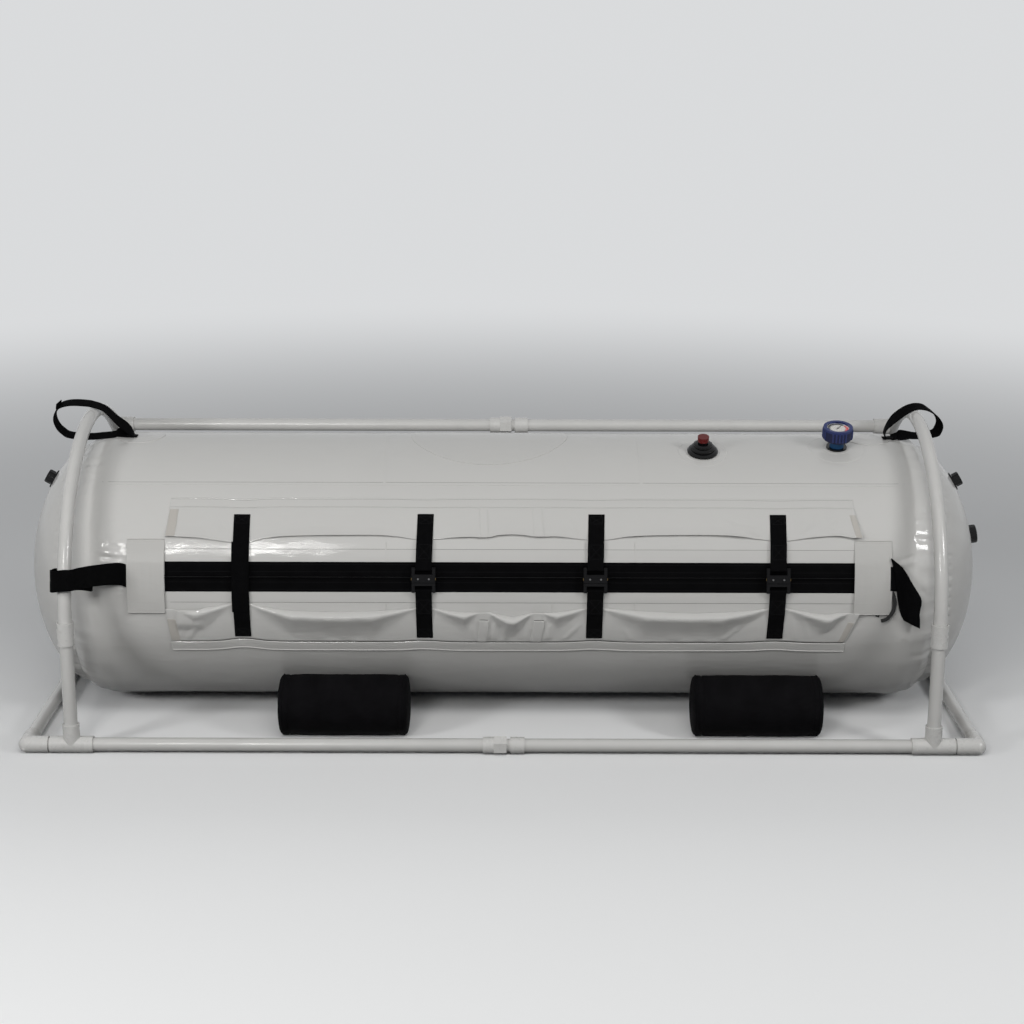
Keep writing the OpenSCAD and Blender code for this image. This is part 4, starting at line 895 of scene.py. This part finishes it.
def buckle_yz(v, w):
    """Point in a buckle's own frame: v up the tube, w outwards."""
    a = BUCKLE_ARC / R
    return (-(R + w) * cos(a) + v * sin(a), AXIS + (R + w) * sin(a) + v * cos(a))


def strap_run(a, b, lift=0.0):
    return [yz(s, strap_under(s) + WEB_T / 2 + lift) for s in frange(a, b, 6)]


def wrapped(s):
    """Webbing from its sewn end to a buckle's bar, round it, and back over itself: 1 above, -1 below."""
    turn_r = BAR_R + 0.2 + WEB_T / 2
    loop = [buckle_yz(s * (BAR_V + turn_r * cos(q)), BAR_W - turn_r * sin(q))
            for q in [radians(d) for d in range(75, 300, 15)]]
    end, back = (220, 148) if s > 0 else (-96, -30)
    bar = BUCKLE_ARC + s * (BAR_V + 17)
    return strap_run(end, bar) + loop + strap_run(bar + s, back, WEB_T)


# How far each strap's ends stand to the right of its buckle: above it and below it
LEAN = ((0.0, 0.0), (4.0, 1.5), (3.5, -1.0), (2.0, -2.7))


def lean(k, arc):
    return LEAN[k][0] * max(0.0, (arc - 84) / 136) + LEAN[k][1] * max(0.0, (30 - arc) / 126)


def strap_stitches(k, x, a, b, plies):
    """A sewn box with a cross between two arcs, on one or two plies of webbing."""
    def at(dx, arc):
        return (around(x + dx + lean(k, arc), arc, strap_under(arc) + plies * WEB_T), arc_normal(arc))

    e = 15.5    # half the box's width
    for p, q in (((-e, a), (e, a)), ((-e, b), (e, b)), ((-e, a), (-e, b)), ((e, a), (e, b)),
                 ((-e, a), (e, b)), ((e, a), (-e, b))):
        stitches(thread, [at(p[0] + (q[0] - p[0]) * n / 8, p[1] + (q[1] - p[1]) * n / 8) for n in range(9)])


straps = Parts()
for k, x in enumerate(STRAPS):
    w0, w1 = x - 20, x + 20

    def strap_place(p, w, k=k):
        return (w + lean(k, R * atan2(p[1] - AXIS, -p[0])), p[0], p[1])

    if k == 0:
        straps.add(*ribbon(strap_run(218, -93), w0, w1, WEB_T, strap_place))
        straps.add(*ribbon(strap_run(148, -24, WEB_T), w0 - 3, w1 - 3, WEB_T, strap_place))
    else:
        for s in (1, -1):
            straps.add(*ribbon(wrapped(s), w0, w1, WEB_T, strap_place))
        strap_stitches(k, x, 108, 142, 2)
        strap_stitches(k, x, 8, -26, 2)
    strap_stitches(k, x, 214, 195, 1)
    strap_stitches(k, x, -90, -71, 1)
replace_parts(straps.make("door_straps", WEBBING, slot="webbing", sharp=60), "strap_webbings")

# Tie straps and handles

# The left band: its path from above as (x from -925, y), the stretch of it in front of the hoop's leg, and
# its heights in front of the leg and behind it
TIE_Z = AXIS + R * sin(60 / R)
TIE_PATH = [(12, -337.6), (-4, -338.2), (-20, -345), (-60, -401.7), (-100, -458), (-127, -462), (-154, -459),
            (-161, -442), (-161, -412), (-134, -391), (-100, -392), (-70, -398)]
TIE_FRONT = [(-161, -450), (-154, -459), (-127, -462), (-100, -458), (-60, -401.7), (-20, -345), (12, -337.6)]
TIE_RISE = [(-161, 441), (-133, 445), (-105, 447), (-88, 446.5), (-46, 436), (-4, 421), (12, 415)]
TIE_BACK = [(-161, 434), (-134, 425), (-100, 427), (-70, 425)]


def tie_place(p, w):
    """The band leaves the tube under the left cover, climbs and goes round the hoop's leg."""
    back = smooth(4, 24, p[1] - along(TIE_FRONT, p[0])) * smooth(-62, -70, p[0])
    z = along(TIE_RISE, p[0]) * (1 - back) + along(TIE_BACK, p[0]) * back + w
    k = smooth(-8, -55, p[0])
    y = p[1] + (1 - k) * (sqrt(343 ** 2 - (TIE_Z - AXIS) ** 2) - sqrt(343 ** 2 - (z - AXIS) ** 2))
    return (-925 + p[0] + 0.055 * w, y + 0.9 * k * wave(p[0] / 24, w / 20, 1), z)


tie = Parts()
tie.add(*ribbon(spline(TIE_PATH, 6), -27, 27, 2.6, tie_place, cross=10))
tie_left = tie.make("tie_webbing_left", WEBBING, slot="webbing", sharp=60)
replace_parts(tie_left, "tie_strap_left")

# The right band's two edges as it hangs open: (share of the way down, x, z)
HANG_LEFT = [(0, 952, 466), (0.15, 957, 448), (0.3, 964, 425), (0.5, 967, 391), (0.68, 971, 365),
             (0.85, 978, 334), (1, 988, 313)]
HANG_RIGHT = [(0, 954, 468), (0.08, 967, 457), (0.15, 979, 448), (0.28, 992, 430), (0.4, 1005, 408),
              (0.5, 1016, 391), (0.6, 1027, 373), (0.68, 1030, 358), (0.8, 1026, 334), (0.9, 1028, 314),
              (1, 1029, 293)]


def hanging(depth, share):
    """Placement of one ply of the right band, u across from its left edge and v down, both from 0 to 100."""
    def place(u, v, h):
        t, q = v / 100 * share, u / 100
        x, z = (along([(p[0], p[k]) for p in HANG_LEFT], t) * (1 - q)
                + along([(p[0], p[k]) for p in HANG_RIGHT], t) * q for k in (1, 2))
        y = -sqrt(347.2 ** 2 - max(0.0, z - AXIS) ** 2) - depth
        y += 3.0 * smooth(0.36, 0.22, q) * smooth(0.3, 0.6, t) - 1.8 * sin(pi * q) * t
        return Vector((x, y + 1.0 * wave(q * 2, t * 2.5, 5) * t - h, z)) / 1000
    return place


# The sewn root under the cover's edge, and the hanging end, folded over on itself
tie = Parts()
root = DOOR[1] + COVER
tie.lay((root - 6, root + 11, 4), (32, 92, 6), over(TUNNEL), 2.0)
for depth, share in ((0.0, 0.93), (2.4, 1.0)):
    tie.lay((0, 100, 8), (0, 100, 6), hanging(depth, share), 1.9)
tie_right = tie.make("tie_webbing_right", WEBBING, slot="webbing", sharp=60)
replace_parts(tie_right, "tie_strap_right")

LEFT_LOOP = [(-1, 694), (10, 712), (41, 737), (71, 767), (102, 780), (134, 784), (165, 783), (187, 776),
             (198, 763), (202, 745), (196, 725), (182, 709), (164, 699), (119, 695), (91, 697), (59, 700),
             (30, 704), (6, 698)]
RIGHT_LOOP = [(0, 698), (-4, 712), (6, 734), (30, 757), (58, 775), (76, 780), (98, 777), (124, 760), (137, 739),
              (134, 720), (123, 709), (82, 703), (38, 704), (13, 698)]
for side, name, x, path in ((-1, "left", -952, LEFT_LOOP), (1, "right", 984, RIGHT_LOOP)):
    p = Parts()

    def loop_place(q, w, side=side, x=x):
        k = smooth(-8, 16, q[0])
        turn = (0.42 + (0.42 if q[1] > 704 else 0.0) * smooth(85, 30, q[0])) * k
        twist = -0.12 * smooth(90, 130, q[0]) if side < 0 else -0.5 * smooth(70, 120, q[0])
        twist += 0.1 * smooth(90, 40, q[0])
        z = q[1] + 0.6 * wave(q[0] / 18, q[1] / 18, side * 3) + turn * (w + 15)
        return (x + side * (q[0] + twist * k * (w + 15)), w * (1 - 0.15 * k), z)

    def sewn_place(q, w, side=side, x=x):
        return (x + side * q[0], w, q[1])

    p.add(*ribbon(spline(path, 7), -29, -1, 2.4, loop_place))
    # both ends of the loop are sewn flat on the patch, one over the other
    p.add(*ribbon([(-8, 697.4), (0, 697.6), (8, 698), (18, 699)], -29, -1, 2.4, sewn_place))
    if side < 0:
        # the cut end of the left loop stands up at its tip
        p.add(*ribbon([(192, 768), (191, 774), (190, 780), (189, 786)], -29, -1, 2.2, lambda q, w: (
            x - q[0] + 0.25 * (w + 15) * smooth(766, 774, q[1]), w, q[1] + 0.2 * (w + 15))))
    loop = p.make(f"handle_webbing_{name}", WEBBING, slot="webbing", sharp=60)
    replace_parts(loop, f"handle_loop_{name}")

# The strip that hangs on the zipper's pull, seen beside the right cover. It stands off the tube a little,
# so that it clears it when the pull is turned
PULL_PATH = spline([(953, 34), (960, 22), (964, 6), (963, -10), (957, -26), (946, -39), (933, -44)], 5)
PULL_HEIGHT = [(0, 341.4), (0.17, 342.6), (0.33, 344.0), (0.5, 345.5), (0.67, 346.4), (0.83, 346.3), (1, 345.2)]


def pull_place(u, v, h):
    i = min(int(u), len(PULL_PATH) - 2)
    a, b = PULL_PATH[i], PULL_PATH[i + 1]
    dx, dy = b[0] - a[0], b[1] - a[1]
    length = hypot(dx, dy)
    x, arc = a[0] + dx * (u - i) - dy / length * v, a[1] + dy * (u - i) + dx / length * v
    return around(x, arc, along(PULL_HEIGHT, u / (len(PULL_PATH) - 1)) + h)


strip = Parts()
strip.lay((0, len(PULL_PATH) - 1.001, 1), (-4.8, 4.8, 2.4), pull_place, 1.2)
strip.make("pull_strip", PULL, body="zipper_pull", slot="webbing", sharp=50)

# Patches and welds


def disc(centre, rx, ry, thick, steps=9, sides=96):
    """Patch that lies on the skin, with a rounded rim."""
    def point(s, a, h):
        x, arc = centre[0] + rx * s * cos(a), centre[1] + ry * s * sin(a)
        return around(x, arc, skin(x, arc) + GAP + h)

    shares = [k / steps for k in range(1, steps)] + [1 - 0.6 / rx, 1.0]
    top = [[point(s, a, thick * (0.4 if s == 1.0 else 1.0)) for a in turns(sides)] for s in shares]
    under = [[point(s, a, 0.0) for a in turns(sides)] for s in reversed(shares)]
    return capped(top + under, (point(0, 0, thick), point(0, 0, 0.0)))


def bead(centre, rx, ry, width, height, sides=120, lift=0.0):
    """Thin raised weld line round an ellipse on the skin."""
    verts = []
    for off, h in ((-0.5, 0.0), (-0.25, 0.8), (0.0, 1.0), (0.25, 0.8), (0.5, 0.0)):
        for a in turns(sides):
            x = centre[0] + (rx + off * width) * cos(a)
            arc = centre[1] + (ry + off * width) * sin(a)
            verts.append(around(x, arc, skin(x, arc) + lift - 0.1 + h * height))
    return verts, rings(5, sides, closed=True)


OVAL = (-37.0, pi / 2 * R)
oval = Parts()
oval.add(*disc(OVAL, 201, 161, 1.2, steps=14))
oval.add(*bead(OVAL, 190, 150, 3.0, 0.5, lift=1.2))
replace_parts(oval.make("oval_reinforcement", PATCH, slot="patch", sharp=50), "oval_patch")

anchors = Parts()
for centre in HANDLES.values():
    anchors.add(*disc(centre, 64, 64, 1.2))
    for r in (61.5, 29):
        anchors.add(*bead(centre, r, r, 4.0, 1.0, lift=1.0))
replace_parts(anchors.make("handle_weld_patches", PATCH, slot="patch", sharp=50), "handle_patches")

welds = Parts()
for centre, r in ((GAUGE, 71), (GAUGE, 33), (VALVE, 62), (VALVE, 45)):
    welds.add(*bead(centre, r, r, 3.2, 0.7))
welds.make("fitting_weld_lines", SHELL, slot="shell", sharp=60)

# Gauge dial

DIAL_UP = Vector((0.0, sin(GAUGE_TILT), cos(GAUGE_TILT)))
DIAL_H = 53.8       # its face over the skin
marks = Parts()


def dial_point(r, a, h):
    return GAUGE_O + (Vector((1, 0, 0)) * r * cos(a) + DIAL_UP * r * sin(a) + GAUGE_N * h) / 1000


def sector(r0, r1, a0, a1, pick, n):
    """A printed mark between two radii and two angles, in n steps."""
    verts = [dial_point(r, radians(a0 + (a1 - a0) * k / n), h)
             for h in (DIAL_H, DIAL_H + 0.15) for r in (r0, r1) for k in range(n + 1)]
    marks.add(verts, layers(2, n + 1, turned=True), pick=pick)


sector(20.5, 26.5, 262, 46, 0, 48)
sector(19.5, 26.0, 38, -44, 1, 20)
for k in range(28):
    sector(16.5 if k % 5 == 0 else 18.5, 20.2, 226 - 10 * k, 224 - 10 * k, 0, 1)
marks.make("dial_marks", [INK, RED_INK], slot="needle", sharp=30)

# Bolsters and mattress

ROLL_R, ROLL_Y, ROLL_Z = 76.2, 306.65, 73.152   # a bolster's radius, and its axis from the middle and the floor
PIPING = 1.9
SIDES = 96


def bolster(name, x, side):
    """A firm roll: seams 15 mm from its piped ends, ends that swell a little, and a pinched corner on top."""
    half = frange(-133, 133, 7) + [134.5, 136, 137, 138, 139.5, 143, 147, 150, 151.8]
    rows = [(v, 0.982 + 0.016 * smooth(150, 80, abs(v))) for v in sorted(set([-v for v in half] + half))]
    ends = [(153.2, 0.972), (155.5, 0.966), (158, 0.94), (160.5, 0.87), (163, 0.7), (164.8, 0.45), (165.5, 0.2)]
    rows = [(-v, q) for v, q in reversed(ends)] + rows + ends

    def ear(a):
        return bell((a - 1.62 + pi) % (2 * pi) - pi, 0.07)

    def point(v, r, a):
        """Point in metres at v along the roll. Its underside lies flat on the floor."""
        return Vector((x + v, side * ROLL_Y + r * cos(a), max(0.3, ROLL_Z + r * sin(a)))) / 1000

    def radius(v, q, a):
        ca, sa, off = cos(a), sin(a), abs(v)
        r = ROLL_R * q + 0.8 * wave(x / 9 + v / 60, 2 * ca, 2 * sa) * smooth(150, 120, off)
        r += 0.5 * wave(v / 17, 4 * ca, 4 * sa + side) * smooth(160, 120, off) - 1.5 * bell(off - 137, 1.7)
        return r + 0.6 * cos(24 * a + v / 40) * bell(off - 144, 6) + 2.6 * bell(off - 150, 6) * ear(a)

    p = Parts()
    p.add(*capped([[point(v, radius(v, q, a), a) for a in turns(SIDES)] for v, q in rows],
                  [point(rows[end][0] * 1.004, 0, 0) for end in (0, -1)]))
    # piping round both ends
    for e in (-1, 1):
        p.add([point(e * 152 + PIPING * sin(b), ROLL_R * 0.984 + PIPING * cos(b) + 3.0 * ear(a), a)
               for b in turns(8) for a in turns(SIDES)], rings(8, SIDES, closed=True))
    obj = p.make(name, BOLSTER, slot="bolster_cover", sharp=55)
    return obj


rolls = [bolster(f"bolster_{place}_{depth}", x, side)
         for x, place in ((-398.0, "left"), (637.0, "right")) for side, depth in ((-1, "front"), (1, "rear"))]
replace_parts(rolls[0], "bolsters")


def mattress_place(u, v, h):
    """Point on the mattress: u along the tube, v the arc on its floor from the front edge to the rear one."""
    a = radians(270) + v / R
    quilt = 2.3 - 2.2 * abs(cos(pi * u / 155)) * abs(cos(pi * v / 148)) if h > 20 else 0
    edge = min(1.0, (930 - abs(u)) / 30, (297 - abs(v)) / 30)
    r = 337.6 - h * (0.86 + 0.14 * sqrt(max(0.0, edge))) + quilt
    return Vector((u, r * cos(a), AXIS + r * sin(a))) / 1000


mattress = Parts()
mattress.lay((-930, 930, 18), (-296, 296, 18), mattress_place, 34.5)
pad = mattress.make("quilted_mattress", MATTRESS, slot="mattress_cover", sharp=55)
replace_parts(pad, "mattress")

thread.make("stitching", THREAD, slot="webbing", sharp=60)

# CAD pieces: finish and softened edges

# Material, width of the softened edges in mm, and the pieces
FINISH = (
    (PIPE, 0, "base_rails side_rails corner_nipples upright_posts hoop_left hoop_right top_rails"),
    (FITTING, 1.6, "corner_elbows base_tees post_couplers"), (FITTING, 1.4, "top_rail_sockets"),
    (FITTING, 1.2, "union_sockets union_plugs"), (BUCKLE, 0.6, "buckle_frames buckle_tongues"),
    (RIVET, 0, "buckle_rivets"), (CLIP, 0, "clip_2_left clip_2_right clip_3_left clip_3_right"),
    (CLIP, 0, "clip_4_left clip_4_right"), (SLIDER, 0.35, "zipper_slider"), (SLIDER, 0, "inner_slider"),
    (PULL, 0.25, "zipper_pull"), (BOOT, 0.7, "gauge_boot"), (DIAL, 0, "gauge_dial"), (INK, 0, "gauge_needle"),
    (LENS, 0, "gauge_lens"), (BUTTON, 1.2, "valve_button"), (NUT, 0, "valve_sleeve fitting_nuts"),
    (NECK, 0.6, "gauge_flange port_bodies"),
    (NECK, 0.8, "valve_body port_cap_left port_cap_upper_right port_cap_middle_right"))
for mat, width, names in FINISH:
    for name in names.split():
        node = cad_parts[name]
        node.data.materials.clear()
        node.data.materials.append(mat)
        node.data.polygons.foreach_set("use_smooth", [True] * len(node.data.polygons))
        node.data.set_sharp_from_angle(angle=radians(34))
        if width:
            mod = node.modifiers.new("edge", "BEVEL")
            mod.width = width / 1000
            mod.segments = 2
            mod.limit_method = "ANGLE"
            mod.angle_limit = radians(40)
            mod.harden_normals = False

# Floor and light

PALE = (0.70, 0.71, 0.72, 1.0)


def seen(tree):
    """1 for rays from the camera, off gloss or through glass, 0 for light that falls on the object."""
    path = add_node(tree, "LightPath").outputs
    total = path["Is Camera Ray"]
    for name in ("Is Glossy Ray", "Is Transmission Ray"):
        total = add_node(tree, "Math", {0: total, 1: path[name]}, operation="MAXIMUM").outputs[0]
    return total


def blend(tree, fac, a, b):
    return add_node(tree, "MixShader", {0: fac, 1: a.outputs[0], 2: b.outputs[0]})


def show(tree, output, lit, shown):
    """Lights the object by one shader and shows the other as the background."""
    tree.links.new(blend(tree, seen(tree), lit, shown).outputs[0], tree.nodes[output].inputs["Surface"])


# The floor is pale near the object, runs into the background's own colour, and throws little light back up
floor_mat = bpy.data.materials.new("floor")
floor_mat.use_nodes = True
tree = floor_mat.node_tree
tree.nodes.remove(tree.nodes["Principled BSDF"])
near_floor = add_node(tree, "BsdfDiffuse", {"Color": (0.86, 0.865, 0.87, 1)})
far_floor = add_node(tree, "Emission", {"Color": PALE})
dim_floor = add_node(tree, "BsdfDiffuse", {"Color": (0.07, 0.07, 0.07, 1)})
place = add_node(tree, "TexCoord").outputs["Object"]
size = add_node(tree, "VectorMath", {0: place}, operation="LENGTH").outputs["Value"]
away = add_node(tree, "MapRange", {"From Min": 1.8, "From Max": 6.5, "Value": size},
                interpolation_type="SMOOTHSTEP")
shown = blend(tree, away.outputs["Result"], near_floor, far_floor)
show(tree, "Material Output", dim_floor, shown)
bpy.ops.mesh.primitive_plane_add(size=500, location=(0, 0, 0))
floor = bpy.context.object
floor.name = "floor"
floor.data.materials.append(floor_mat)

world = bpy.data.worlds.new("studio")
world.use_nodes = True
tree = world.node_tree
light = tree.nodes["Background"]
light.inputs["Color"].default_value = (0.9, 0.95, 1.0, 1.0)
light.inputs["Strength"].default_value = 0.12
sky = add_node(tree, "Background", {"Color": PALE})
show(tree, "World Output", light, sky)
scene.world = world

WARM, WHITE = (1, 0.99, 0.97), (1, 1, 1)


def area(name, location, target, size, power, color=WARM, gloss=False):
    light = bpy.data.lights.new(name, "AREA")
    light.shape = "RECTANGLE"
    light.size, light.size_y = size
    light.energy = power
    light.color = color
    obj = bpy.data.objects.new(name, light)
    obj.location = location
    obj.rotation_euler = (Vector(target) - Vector(location)).to_track_quat("-Z", "Y").to_euler()
    obj.visible_glossy = gloss
    scene.collection.objects.link(obj)


# the three narrow keys and the side lamp show as highlights in the vinyl
area("key_left", (-1.58, -4.2, 2.55), (-0.8, 0, 0.4), (0.13, 0.9), 13, gloss=True)
area("key_middle", (-1.14, -4.2, 2.55), (-0.5, 0, 0.4), (0.24, 0.9), 17, gloss=True)
area("key_right", (-0.86, -4.2, 2.6), (-0.4, 0, 0.4), (0.16, 0.5), 3, gloss=True)
area("front", (-0.2, -4.2, 2.3), (-0.1, 0, 0.4), (3.0, 0.9), 13)
area("panel", (0.1, -2.7, 3.6), (0, 0, 0.45), (3.2, 1.0), 47)
area("side", (3.4, -2.5, 2.4), (0.8, 0, 0.4), (0.8, 0.8), 48, WHITE, gloss=True)
area("left", (-3.4, -2.9, 1.9), (-1.0, 0, 0.4), (0.8, 0.8), 54, WHITE)
area("rim", (0.0, 3.2, 3.4), (0, 0, 0.5), (4.0, 1.2), 20, WHITE)
scene.view_settings.view_transform = "Standard"
